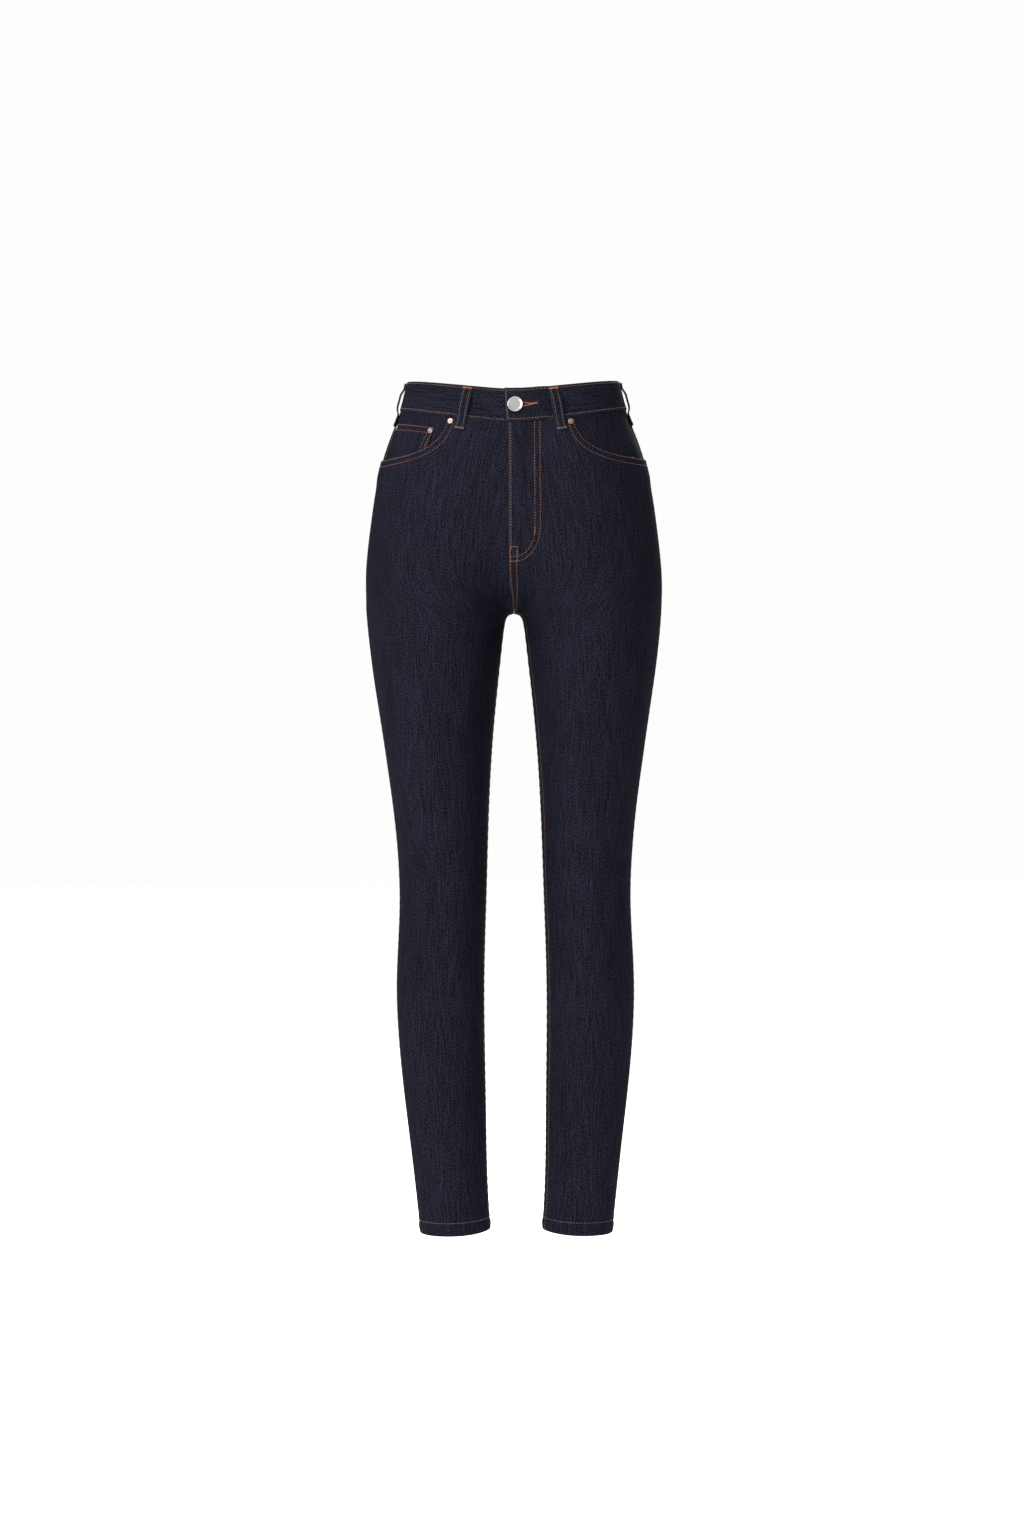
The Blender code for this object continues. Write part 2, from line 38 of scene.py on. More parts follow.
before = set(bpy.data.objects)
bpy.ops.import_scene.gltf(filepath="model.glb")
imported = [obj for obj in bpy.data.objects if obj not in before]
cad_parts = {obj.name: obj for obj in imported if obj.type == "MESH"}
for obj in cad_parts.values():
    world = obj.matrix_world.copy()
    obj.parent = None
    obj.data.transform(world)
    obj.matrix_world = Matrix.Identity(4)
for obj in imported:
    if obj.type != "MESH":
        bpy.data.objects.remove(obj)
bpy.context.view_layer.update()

MM = 0.001

# Cloth, and the levels at which the pieces lie over each other, within 2 mm of the solids'
WALL = 1.2 * MM
CROTCH_HALF_GAP = 0.2 * MM
BAND_HEIGHT = 33 * MM
BAND_OUT = 0.8 * MM
BAND_WALL = 2.5 * MM
BAND_CROWN = 0.35 * MM
BAND_END_ROW = 0.985
UNDERLAP = 26 * MM
OVERLAP_EDGE_TOP = -9.8 * MM
OVERLAP_EDGE_LOW = -6.8 * MM
OVERLAP_RISE = 2.8 * MM
LAP_OVER = 5.2 * MM
LAP_UNDER = 3 * MM
LAP_RISE = 1.7 * MM
SCOOP_START = 68 * MM
SCOOP_ROWS = 1.44
SCOOP_POWER = 2.95
FRONT_SHIFT = 2.8 * MM
POCKET_RISE = 1.3 * MM
POCKET_RISE_FLAT = 15 * MM
POCKET_RISE_END = 34 * MM
FACING_OUT = -2.1 * MM
FACING_TUCK = 1.5 * MM
FACING_WALL = 1 * MM
FACING_PAST_EDGE = 0.48
FACING_INSIDE = 12 * MM
COIN_OUT = -0.6 * MM
COIN_WALL = 0.9 * MM
COIN_TOP_ROW = 1.4
COIN_PAST_EDGE = 0.2
COIN_INNER = 84.5 * MM
COIN_SIDE_MARGIN = 23 * MM
COIN_TAPER = 5 * MM
YOKE_SIDE_ROW = 2.15
YOKE_CENTRE_ROW = 2.85
YOKE_GAP_ROWS = 0.0075
PATCH_WALL = 1.2 * MM
PATCH_GAP = 0.6 * MM
PATCH_TOP_WIDTH = 128 * MM
PATCH_LOW_WIDTH = 100 * MM
PATCH_SIDE_HEIGHT = 98 * MM
PATCH_POINT_HEIGHT = 121 * MM
PATCH_BELOW_YOKE = 20 * MM
PATCH_CENTRE = 92 * MM
HEM_HEIGHT = 14 * MM
HEM_RISE = 0.8 * MM
HEM_WALL = 2.6 * MM
LOOP_WIDTH = 11 * MM
LOOP_WALL = 1.3 * MM
LOOP_GAP = 0.1 * MM
LOOP_LENGTH = 49 * MM
LOOP_FRONT_TOP = 47.5 * MM
LOOP_LEAN = 4 * MM
LOOP_STAND_FRONT = 3 * MM
LOOP_STAND_SIDE = 2.6 * MM
BUTTON_RADIUS = 8.2 * MM
BUTTON_OFFSET = 1.9 * MM
RIVET_RADIUS = 3.1 * MM
RIVET_ASIDE = 4.6 * MM
BUTTON_POST = 3 * MM
YOKE_ROW_HEIGHT = 38 * MM

# Rows of topstitching: their distances from the edge beside them, or the rows of the body that they follow
DOUBLE_ROWS = (1.6 * MM, 7.4 * MM)
SEAT_ROWS = (1.7 * MM, 7.4 * MM)
PATCH_ROWS = (1.6 * MM, 7.2 * MM)
PATCH_HEM_ROWS = (2 * MM, 13 * MM)
COIN_SIDE_ROWS = (1.5 * MM, 6.5 * MM)
COIN_HEM_ROWS = (COIN_TOP_ROW + 0.035, COIN_TOP_ROW + 0.19)
BAND_ROWS = (0.075, 0.925)
BAND_ROW_END = 9.5 * MM
HEM_STITCH_HEIGHT = 14.4 * MM
INSEAM_STITCHES = {False: 3.2 * MM, True: 1.1 * MM}
BAR_PITCH = 0.5 * MM
# Two rows round the fly, in millimetres: distance from the centre front, depth where the curve starts, drop
# of the curve, level of the row's start, and x of its end
FLY_ROWS = ((22.6, 153, 30.5, -39, -4.5), (28.3, 150, 38.5, -39, -4.8))
# The four sides of the box of stitches at its foot, in millimetres: x of both ends, then z
FLY_BOX = (
    (-4.2, 4.0, -173.5, -173.5), (4.0, 4.2, -173.5, -189), (-4.2, -4, -173.5, -190), (-4, 4.2, -188.5, -188)
)

# The camera, by the photograph's scale at the depth of the hips, and the studio
PHOTO_HEIGHT = 1536
PIXEL = 1.1 * MM
CAMERA_ASIDE = -2.9 * MM
CAMERA_LEAN = math.radians(0.22)
SENSOR = 36
FLOOR_GLOW = 0.74
ROOM_LIGHT = 0.26
# Name, place, aim, size in metres and power in watts
LAMPS = (
    ("key", (-1.5, -2.0, 0.9), (0, 0, -0.2), 1.3, 66),
    ("fill", (1.5, -2.6, 0.4), (0, 0, -0.4), 1.4, 10),
    ("back", (0.5, 2.6, 1.7), (0, 0, -0.4), 1.0, 105),
    ("top", (0, -0.5, 3.6), (0, 0, -0.4), 1.8, 30),
)

# Rows of the body in millimetres, from the waistband's top (0) through the waist seam (1) and the crotch (8)
# to the hem (17): side x, side y, side z, front x, front y, front z, back x, back y, back z
CROTCH = 8
HEM = 17
STATIONS = {
    "waist_top": (116, 0, 14, 28, -83.5, -2.5, 34, 73.5, 15.8),
    "waist_seam": (124.3, 2, -17.5, 32, -88.5, -38.5, 42, 78.5, -17.5),
    "high_hip": (138.4, 3, -54, 42, -94.5, -71.5, 55, 96, -57),
    "belly": (150.4, 3, -98, 51, -98.5, -110, 66, 115, -99),
    "hip": (157.2, 3, -143, 63, -100, -150, 74, 126, -140),
    "fork_top": (161, 4, -176, 69, -100, -181, 79, 128, -173),
    "fork_middle": (162.8, 5, -200, 75, -99, -205, 82, 124, -200),
    "fork_low": (163, 6, -219, 80, -98, -225, 84, 115, -224),
    "crotch": (162.6, 7, -236, 84, -96, -244, 85, 104, -248),
    "under_crotch": (161.3, 7, -254, 86, -94, -262, 85, 96, -268),
    "upper_thigh": (157.4, 5, -290, 87, -90, -294, 84, 88, -300),
    "thigh": (145.5, 2, -370, 86.5, -80, -370, 82, 76, -372),
    "above_knee": (133, 0, -460, 82, -69, -460, 80, 64, -460),
    "knee": (127, -1, -555, 80, -58, -555, 79, 51, -555),
    "calf": (130.7, 5, -655, 83, -46, -655, 82, 64, -655),
    "under_calf": (124, 9, -760, 79, -38, -760, 79, 64, -760),
    "ankle": (113.6, 10, -850, 73, -33, -850, 73, 56, -850),
    "hem": (106, 9, -921, 67.5, -32, -920, 68, 52, -919),
}
# front y, front z, front turn in degrees, back y, back z, back turn
CENTRE = {
    "waist_top": (-84, -4, 0, 74, 16, 0),
    "waist_seam": (-89, -40.5, 0, 79, -17.5, 0),
    "high_hip": (-95, -75, 0, 95, -58, 0),
    "belly": (-98.5, -115, 0, 110, -100, 0),
    "hip": (-97, -152, 0, 114, -140, 0),
    "fork_top": (-88, -186, 6, 108, -174, 5),
    "fork_middle": (-70, -213, 24, 93, -204, 20),
    "fork_low": (-43, -230, 48, 60, -229, 46),
    "crotch": (8, -240, 84, 8, -240, 84),
}
# inseam x, y, z
INSEAM = {
    "crotch": (0, 8, -240),
    "under_crotch": (9.2, 8, -247),
    "upper_thigh": (14.7, 6, -290),
    "thigh": (22.9, 3, -370),
    "above_knee": (28.3, 1, -460),
    "knee": (31.4, 0, -555),
    "calf": (34.1, 5, -655),
    "under_calf": (33, 8, -760),
    "ankle": (31.7, 9, -850),
    "hem": (28.5, 9, -917),
}
RISE_END_SLOPE = {"front": (54, 0, 40), "back": (-58, 0, 42)}
INSEAM_START_SLOPE = (16, 0, 0)
FULLNESS = 0.57
FLATNESS = 0.36
SIDES = {"front": -1, "back": 1}
ROWS_DENSE = 17 * 16 + 1
COLUMNS_DENSE = 241
ROWS = np.linspace(0, HEM, ROWS_DENSE)
LAST_ROW_HEIGHT = 69 * MM
HEM_START = HEM - HEM_HEIGHT / LAST_ROW_HEIGHT
HANDS = {False: "left", True: "right"}
# The panels' top edges are tucked this far up between the waistband's two faces
TUCKED_ROWS = 0.035

# Creases by panel: start share across and row, end share across and row, half width, depth and bow in
# millimetres. A depth above 0 is a ridge.
CREASES = {
    "front": (
        (0.10, 7.2, 0.60, 5.5, 10, -0.9, 7),
        (0.09, 7.6, 0.68, 6.6, 9, -1.1, 5),
        (0.08, 8.3, 0.60, 7.9, 8, -0.9, -4),
        (0.08, 8.9, 0.52, 9.5, 9, -0.8, -5),
        (0.28, 9.7, 0.36, 11.6, 15, 0.8, 4),
        (0.66, 9.3, 0.60, 11.3, 17, -0.7, -5),
        (0.06, 12.20, 0.66, 11.96, 9, -0.9, 5),
        (0.34, 12.55, 0.96, 12.46, 8, -0.8, -4),
        (0.05, 13.30, 0.58, 13.52, 9, -1.0, -6),
        (0.42, 13.78, 0.95, 13.62, 8, -0.8, 4),
        (0.46, 14.3, 0.52, 15.4, 14, 0.6, 3),
        (0.05, 15.92, 0.66, 16.06, 6, -0.8, 3),
        (0.34, 16.28, 0.95, 16.20, 5.5, -0.8, -3),
        (0.08, 16.52, 0.50, 16.56, 5, -0.6, 2),
    ),
    "back": (
        (0.08, 8.15, 0.80, 8.20, 9, -2.4, -14),
        (0.10, 8.75, 0.62, 9.05, 8, -2.0, -9),
        (0.30, 9.45, 0.85, 9.60, 9, -1.3, -6),
        (0.66, 6.2, 0.93, 7.7, 11, -0.9, 5),
        (0.24, 10.1, 0.30, 11.5, 16, 0.8, -4),
        (0.70, 10.3, 0.64, 11.6, 15, -0.8, 4),
        (0.10, 12.16, 0.86, 12.06, 7, -1.5, 6),
        (0.05, 12.50, 0.70, 12.62, 6.5, -2.0, -6),
        (0.22, 12.88, 0.96, 12.80, 6.5, -2.1, 5),
        (0.06, 13.16, 0.78, 13.30, 6.5, -1.9, -5),
        (0.26, 13.56, 0.94, 13.48, 7, -1.4, 4),
        (0.10, 13.95, 0.60, 14.10, 8, -0.9, -4),
        (0.40, 14.5, 0.46, 15.5, 14, 0.7, 3),
        (0.06, 15.80, 0.72, 15.92, 6, -1.1, 3),
        (0.28, 16.12, 0.95, 16.06, 5.5, -1.2, -3),
        (0.08, 16.42, 0.66, 16.48, 5, -0.9, 2),
    ),
}
# The ridge and trough beside the fly, on the left front alone
FLY_CREASES = (
    (0.040, 1.3, 0.040, 3.9, 3.4, 0.35, 0),
    (0.074, 1.2, 0.070, 3.6, 3.2, -0.75, 0),
)
SEAM_PUCKER_LENGTH = 9.5 * MM
HEM_PUCKER_LENGTH = 8.5 * MM
BAND_PUCKER_LENGTH = 12 * MM
SEAM_PUCKER_REACH = 6 * MM
HEM_PUCKER_REACH = 7 * MM
UNEVENNESS = 0.22 * MM
# Distance between the lines of a Wave Texture of scale 1, in metres
WAVE = 0.314


def linear(code):
    """The linear colour of an sRGB hex value."""
    shares = [int(code[k : k + 2], 16) / 255 for k in (0, 2, 4)]
    return tuple(s / 12.92 if s <= 0.04045 else ((s + 0.055) / 1.055) ** 2.4 for s in shares)


class JeansCloth(PropertyGroup):
    mesh_step: FloatProperty(
        name="Mesh step", description="Distance between points of the cloth", default=2.3 * MM, unit="LENGTH"
    )
    crease_depth: FloatProperty(
        name="Crease depth", description="How far the creases are pressed in", default=1.5, subtype="FACTOR"
    )
    pucker_depth: FloatProperty(
        name="Pucker depth", description="Height of the seams' puckers", default=0.22 * MM, unit="LENGTH"
    )
    indigo: FloatVectorProperty(
        name="Indigo", description="Colour of the dyed warp", subtype="COLOR", default=linear("0C0B15")
    )
    slub: FloatVectorProperty(
        name="Slub", description="Colour of the paler warp yarns", subtype="COLOR", default=linear("282835")
    )
    worn: FloatVectorProperty(
        name="Worn edge", description="Colour of rubbed edges", subtype="COLOR", default=linear("4A5260")
    )
    reverse: FloatVectorProperty(
        name="Reverse", description="Colour of the wrong side", subtype="COLOR", default=linear("444A5A")
    )


class JeansThread(PropertyGroup):
    stitch: FloatProperty(
        name="Stitch", description="Length of one topstitch", default=3.1 * MM, unit="LENGTH"
    )
    thickness: FloatProperty(
        name="Thickness", description="Width of the topstitching thread", default=0.75 * MM, unit="LENGTH"
    )
    tan: FloatVectorProperty(
        name="Tan", description="Colour of the topstitching", subtype="COLOR", default=linear("75492D")
    )
    orange: FloatVectorProperty(
        name="Orange", description="Colour of buttonhole and bars", subtype="COLOR", default=linear("B8692C")
    )


class JeansMetal(PropertyGroup):
    nickel: FloatVectorProperty(
        name="Nickel", description="Colour of the button", subtype="COLOR", default=linear("D6D6D2")
    )
    copper: FloatVectorProperty(
        name="Copper", description="Colour of the rivets", subtype="COLOR", default=linear("C9AFA2")
    )
    segments: IntProperty(name="Segments", description="Corners of the round metal parts", default=64, min=16)


class JeansStage(PropertyGroup):
    floor_level: FloatProperty(
        name="Floor level", description="Height of the floor", default=-1.16, unit="LENGTH"
    )
    camera_distance: FloatProperty(
        name="Camera distance", description="From the camera to the waist", default=3.0, unit="LENGTH"
    )
    camera_height: FloatProperty(
        name="Camera height", description="Height of the camera", default=-0.41, unit="LENGTH"
    )
    paper: FloatVectorProperty(
        name="Paper", description="Colour of floor and room", subtype="COLOR", default=linear("FDFDFD")
    )


def spline(values, at, start=None, end=None):
    """Cubic spline through values at 0, 1, 2 ... read at the numbers in at. start and end are end slopes."""
    values = np.asarray(values, float)
    count = len(values)
    matrix = np.eye(count)
    right = np.zeros_like(values)
    for i in range(1, count - 1):
        matrix[i, i - 1 : i + 2] = (1, 4, 1)
        right[i] = 6 * (values[i + 1] - 2 * values[i] + values[i - 1])
    if start is not None:
        matrix[0, :2] = (2, 1)
        right[0] = 6 * (values[1] - values[0] - start)
    if end is not None:
        matrix[-1, -2:] = (1, 2)
        right[-1] = 6 * (end - values[-1] + values[-2])
    bends = np.linalg.solve(matrix, right)
    i = np.clip(np.floor(at).astype(int), 0, count - 2)
    t = (at - i)[:, None]
    a = 1 - t
    bend = ((a**3 - a) * bends[i] + (t**3 - t) * bends[i + 1]) / 6
    return a * values[i] + t * values[i + 1] + bend


def smooth(t):
    """0 below 0, 1 above 1, and an S curve between."""
    t = np.clip(t, 0, 1)
    return t * t * (3 - 2 * t)


def bezier(p0, p1, p2, p3, t):
    a = 1 - t
    return (
        a**3 * p0[:, None]
        + 3 * a * a * t * p1[:, None]
        + 3 * a * t * t * p2[:, None]
        + t**3 * p3[:, None]
    )


def run_along(points, axis=0):
    """Distances along lines of points, from each line's first point."""
    steps = np.linalg.norm(np.diff(points, axis=axis), axis=-1)
    return np.concatenate([np.zeros_like(steps.take([0], axis)), np.cumsum(steps, axis)], axis)


def read_at(values, run, wanted):
    """Rows of values along a run, read at the wanted distances."""
    return np.stack([np.interp(wanted, run, column) for column in values.T], 1)


def columns(*values):
    return np.stack(np.broadcast_arrays(*values), -1)


def row_curves(side, r):
    """Points of each row r from the inner line to the side seam, evenly spaced, and the rows' lengths."""
    sign = SIDES[side]
    stations = spline(list(STATIONS.values()), r) * MM
    seam, middle, other = stations[:, 0:3], stations[:, 3:6], stations[:, 6:9]
    pick = slice(0, 3)
    if side == "back":
        middle, other = other, middle
        pick = slice(3, 6)
    centre_rows = np.minimum(r, CROTCH)
    slope = np.array(RISE_END_SLOPE[side], float)
    line = [row[pick] for row in CENTRE.values()]
    centre, above = (spline(line, centre_rows - back, end=slope) for back in (0, 0.02))
    up = columns(0 * r, above[:, 0] - centre[:, 0], above[:, 1] - centre[:, 1])
    up /= np.linalg.norm(up, axis=1, keepdims=True)
    turn = np.radians(np.clip(centre[:, 2], 0, 90))
    inner = columns(0 * r, centre[:, 0], centre[:, 1]) * MM
    leg = r > CROTCH
    below = np.maximum(r - CROTCH, 0)
    inseam = spline(list(INSEAM.values()), below, start=np.array(INSEAM_START_SLOPE, float)) * MM
    inner[leg] = inseam[leg]
    inner[:, 0] += CROTCH_HALF_GAP * smooth(r - CROTCH + 1)
    turn = np.where(leg, turn + (math.pi / 2 - turn) * smooth(below * 2), turn)
    up[leg] = (0, sign, 0)
    flat, full = np.cos(turn), np.sin(turn)
    along = columns(flat, 0, 0) + full[:, None] * up
    reach = middle - inner
    first = FLATNESS * np.abs(reach[:, 0]) * flat + FULLNESS * np.abs(reach[:, 1]) * full
    second = (FLATNESS + (FULLNESS - FLATNESS) * full) * reach[:, 0]
    across = columns(1, 0, 0.6 * (seam[:, 2] - inner[:, 2]) / (seam[:, 0] - inner[:, 0]))
    round_side = columns(0, 1, 0.5 * (middle[:, 2] - other[:, 2]) / (middle[:, 1] - other[:, 1]))
    t = np.linspace(0, 1, 81)[None, :, None]
    inward = bezier(inner, inner + first[:, None] * along, middle - second[:, None] * across, middle, t)
    third = FULLNESS * (seam[:, 0] - middle[:, 0])
    fourth = sign * FULLNESS * np.abs(seam[:, 1] - middle[:, 1])
    outward = bezier(
        middle, middle + third[:, None] * across, seam + fourth[:, None] * round_side, seam, t
    )
    points = np.concatenate([inward, outward[:, 1:]], 1)
    runs = run_along(points, 1)
    even = [read_at(line, run, np.linspace(0, run[-1], COLUMNS_DENSE)) for line, run in zip(points, runs)]
    return np.stack(even), runs[:, -1]


def soften(points, r):
    """Rounds off, away from the inner line, the crease that the row through the crotch would leave."""
    soft = points.copy()
    for _ in range(70):
        soft[1:-1] += (soft[:-2] + soft[2:] - 2 * soft[1:-1]) / 4
    near = smooth((r - 5.5) / 1.2) * (1 - smooth((r - 9.6) / 1.4))
    across = smooth(np.linspace(0, 1, COLUMNS_DENSE) / 0.12)
    return points + (near[:, None] * across)[:, :, None] * (soft - points)


def body_grids():
    """For front and back: dense points and normals of the outer cloth surface, and the rows' lengths."""
    grids = {}
    for side, sign in SIDES.items():
        points, lengths = row_curves(side, ROWS)
        points = soften(points, ROWS)
        normals = np.cross(np.gradient(points, axis=1), np.gradient(points, axis=0))
        grids[side] = [points, normals * sign, lengths]
    for side in SIDES:
        grids[side][1][ROWS <= CROTCH, 0, 0] = 0
    front, back = grids["front"][1], grids["back"][1]
    for column, rows in ((-1, slice(None)), (0, ROWS > CROTCH)):
        edges = [side_normals[rows, column] for side_normals in (front, back)]
        shared = sum(edge / np.linalg.norm(edge, axis=1, keepdims=True) for edge in edges)
        front[rows, column] = back[rows, column] = shared
    for side in SIDES:
        grids[side][1] /= np.linalg.norm(grids[side][1], axis=2, keepdims=True)
    return grids


GRIDS = body_grids()
DOWN = run_along(GRIDS["front"][0][:, COLUMNS_DENSE // 2])


def together(u, r):
    """Shares and rows as arrays of one shape."""
    return np.broadcast_arrays(np.asarray(u, float), np.asarray(r, float))


def base(side, u, r):
    """Points and normals at share u of row r, from the inner line to the side seam, or past the centre."""
    u, r = together(u, r)
    points, normals, _ = GRIDS[side]
    column = np.minimum(np.abs(u), 1) * (COLUMNS_DENSE - 1)
    row = np.clip(r, 0, HEM) / HEM * (ROWS_DENSE - 1)
    i = np.minimum(column.astype(int), COLUMNS_DENSE - 2)
    j = np.minimum(row.astype(int), ROWS_DENSE - 2)
    a = (column - i)[..., None]
    b = (row - j)[..., None]

    def read(grid):
        above = grid[j, i] * (1 - a) + grid[j, i + 1] * a
        below = grid[j + 1, i] * (1 - a) + grid[j + 1, i + 1] * a
        return above * (1 - b) + below * b

    flip = np.stack([np.where(u < 0, -1.0, 1.0), np.ones(u.shape), np.ones(u.shape)], -1)
    normal = read(normals) * flip
    return read(points) * flip, normal / np.linalg.norm(normal, axis=-1, keepdims=True)


def ring(s, r):
    """Points and normals on the loop round the waist: s is 0 at the centre front, 1 at the left side seam, 2
    at the centre back, 3 at the right side seam and 4 at the centre front again."""
    s, r = together(s, r)
    front = (s <= 1) | (s > 3)
    ahead = base("front", np.where(s > 2, s - 4, s), r)
    behind = base("back", 2 - s, r)
    return tuple(np.where(front[..., None], a, b) for a, b in zip(ahead, behind))


def length(side, r):
    """Length of row r from the inner line to the side seam."""
    return np.interp(r, ROWS, GRIDS[side][2])


def down(r):
    """Distance of row r under the waist's top, along the middle of the front."""
    return np.interp(r, ROWS, DOWN)


def row_at(distance):
    return np.interp(distance, DOWN, ROWS)


def share_at(side, x, r):
    """Share along row r where the cloth is this far from the centre line."""
    shares = np.linspace(0, 1, COLUMNS_DENSE)
    return float(np.interp(x, base(side, shares, r)[0][:, 0], shares))


def row_below(side, u, r, distance):
    """The rows that lie these distances further down the column u."""
    rows = np.linspace(r, min(r + 9, HEM), 200)
    return np.interp(distance, run_along(base(side, u, rows)[0]), rows)


def scoop_start(mirror):
    """Share along the row where the pocket edge leaves the waistband."""
    return share_at("front", SCOOP_START + (FRONT_SHIFT if mirror else -FRONT_SHIFT), 1.1)


BAND_RUN = float(length("front", 0.5))


def top_row(u, start):
    """Row of the front panel's top edge: tucked into the waistband, then the pocket's scooped edge."""
    t = np.clip((u - start) / (1 - start), 0, 1)
    scoop = SCOOP_ROWS * (1 - (1 - t) ** SCOOP_POWER) ** (1 / SCOOP_POWER)
    return 1 - TUCKED_ROWS * (1 - smooth(scoop / 0.3)) + scoop


SCOOP_STARTS = {mirror: scoop_start(mirror) for mirror in (False, True)}
SCOOP_EDGES = {
    mirror: base("front", np.linspace(start, 1, 90), top_row(np.linspace(start, 1, 90), start))[0]
    for mirror, start in SCOOP_STARTS.items()
}


def from_scoop(u, r, mirror):
    """Distance of the front's points from the pocket's scooped edge."""
    away = base("front", u, r)[0][:, None] - SCOOP_EDGES[mirror][None]
    return np.sqrt((away**2).sum(-1).min(1))


def pressed(side, creases, mirror, u, r):
    """Height of the creases. The right leg's differ a little from the left's."""
    x = np.abs(u) * length(side, r)
    z = down(r)
    height = np.zeros(np.broadcast(u, r).shape)
    for k, (u0, r0, u1, r1, half_width, depth, bow) in enumerate(creases):
        if mirror:
            r0 += 0.13 * math.sin(2.1 * k + 1)
            r1 += 0.13 * math.sin(2.9 * k)
            depth *= 1 + 0.25 * math.sin(1.7 * k + 2)
        x0, x1 = u0 * length(side, r0), u1 * length(side, r1)
        z0, z1 = down(r0), down(r1)
        run = math.hypot(x1 - x0, z1 - z0)
        t = ((x - x0) * (x1 - x0) + (z - z0) * (z1 - z0)) / run**2
        aside = ((x - x0) * (z1 - z0) - (z - z0) * (x1 - x0)) / run - bow * MM * 4 * t * (1 - t)
        q = aside / (half_width * MM * (1 + 0.3 * np.sin(4 * t + k)))
        along = smooth(t / 0.4) * smooth((1 - t) / 0.4)
        beside = 0.3 * np.exp(-(((np.abs(q) - 1.9) / 0.9) ** 2))
        height += depth * MM * along * (np.exp(-q * q) - beside)
    return height


def relief(side, mirror, u, r):
    """How far creases, puckers and the cloth's unevenness stand out from the solid's surface."""
    cloth = bpy.context.scene.jeans_cloth
    u, r = together(u, r)
    run = length(side, r)
    x, z = np.abs(u) * run, down(r)
    off_side = smooth((run - x) / (12 * MM))
    off_inner = smooth((x - np.where(r < CROTCH, 9, 0) * MM) / (13 * MM))
    free = smooth((r - (2.8 if side == "front" else 1.2)) / 1.4) * off_side * off_inner
    waves = np.sin(x / 0.015 + z / 0.047 + 2 * mirror) + np.sin(x / 0.027 - z / 0.021 + 1.3 + mirror)
    height = free * (cloth.crease_depth * pressed(side, CREASES[side], mirror, u, r) + UNEVENNESS * waves)
    phase = 2 * math.pi * z / SEAM_PUCKER_LENGTH + 2.2 * np.sin(z / 0.033)
    at_seams = np.exp(-(((run - x) / SEAM_PUCKER_REACH) ** 2)) * smooth((r - 2.4) / 0.6)
    at_seams = 0.6 * at_seams + np.exp(-((x / SEAM_PUCKER_REACH) ** 2)) * smooth((r - CROTCH) / 0.6)
    height += cloth.pucker_depth * at_seams * np.sin(phase)
    over_hem = down(HEM_START) - z
    above_hem = np.exp(-((over_hem / HEM_PUCKER_REACH) ** 2)) * off_side * smooth(x / (9 * MM))
    slanted = x - 0.9 * over_hem
    height += cloth.pucker_depth * above_hem * np.sin(2 * math.pi * slanted / HEM_PUCKER_LENGTH)
    if side == "front" and not mirror:
        height += cloth.crease_depth * pressed(side, FLY_CREASES, False, u, r)
    return height


def front_rise(u, r, mirror):
    """How far a front panel stands out where it laps at the fly and where the pocket lies under its edge."""
    u, r = together(u, r)
    rise = np.zeros(u.shape)
    if not mirror:
        lapped = 1 - smooth((r - CROTCH + 1) / 0.9)
        across = u * length("front", r)
        rise += LAP_RISE * lapped * (1 - smooth((across - 7 * MM) / (14 * MM)))
    high = r < 4.5
    fade = (from_scoop(u[high], r[high], mirror) - POCKET_RISE_FLAT) / (POCKET_RISE_END - POCKET_RISE_FLAT)
    rise[high] += POCKET_RISE * (1 - smooth(fade))
    return rise


def hem_shape(r):
    """The folded hem: how far it bulges outwards and how thick it is."""
    t = np.clip((r - HEM_START) / (HEM - HEM_START), 0, 1)
    bulge = HEM_RISE * smooth(t / 0.4) * (1 - 0.35 * smooth((t - 0.6) / 0.4))
    return bulge, WALL + (HEM_WALL - WALL) * smooth(t / 0.12)


def panel_level(side, mirror, u, r):
    """Level of a leg panel's outer face over the solid's base surface."""
    rise = front_rise(u, r, mirror) if side == "front" else 0
    return hem_shape(r)[0] + rise + relief(side, mirror, u, r)


def shares(run, step):
    """Shares from 0 to 1 a step apart on a run, closer at both ends, where the edge is round."""
    close = np.array([0, 0.2, 0.55, 1.1]) * MM / run
    count = max(int(run / step), 3)
    middle = np.linspace(close[-1], 1 - close[-1], count + 1)
    return np.concatenate([close[:-1], middle, 1 - close[-2::-1]])


def from_rim(points):
    """Distance of each point of a grid from the grid's nearest edge, along its lines."""
    near = np.full(points.shape[:2], np.inf)
    for axis in (0, 1):
        run = run_along(points, axis)
        near = np.minimum(near, np.minimum(run, run.take([-1], axis) - run))
    return near


def raised(surface, level):
    """Points moved out from a surface to a level, with their normals."""
    points, normals = surface
    return points + normals * np.asarray(level)[..., None], normals


def over(side, mirror, u, r, level):
    """Points and normals at a level over the front or back, on the left or the right leg."""
    flip = np.array((-1 if mirror else 1, 1, 1))
    return tuple(part * flip for part in raised(base(side, u, r), level))


def new_mesh(name, vertices, faces, paints):
    """A smooth piece in the scene, on the jeans' only body."""
    mesh = bpy.data.meshes.new(name)
    mesh.from_pydata(vertices.tolist(), [], faces)
    for paint in paints:
        mesh.materials.append(paint)
    mesh.polygons.foreach_set("use_smooth", np.ones(len(faces), bool))
    mesh.update()
    obj = bpy.data.objects.new(name, mesh)
    bpy.context.scene.collection.objects.link(obj)
    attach(obj, "root")
    return obj


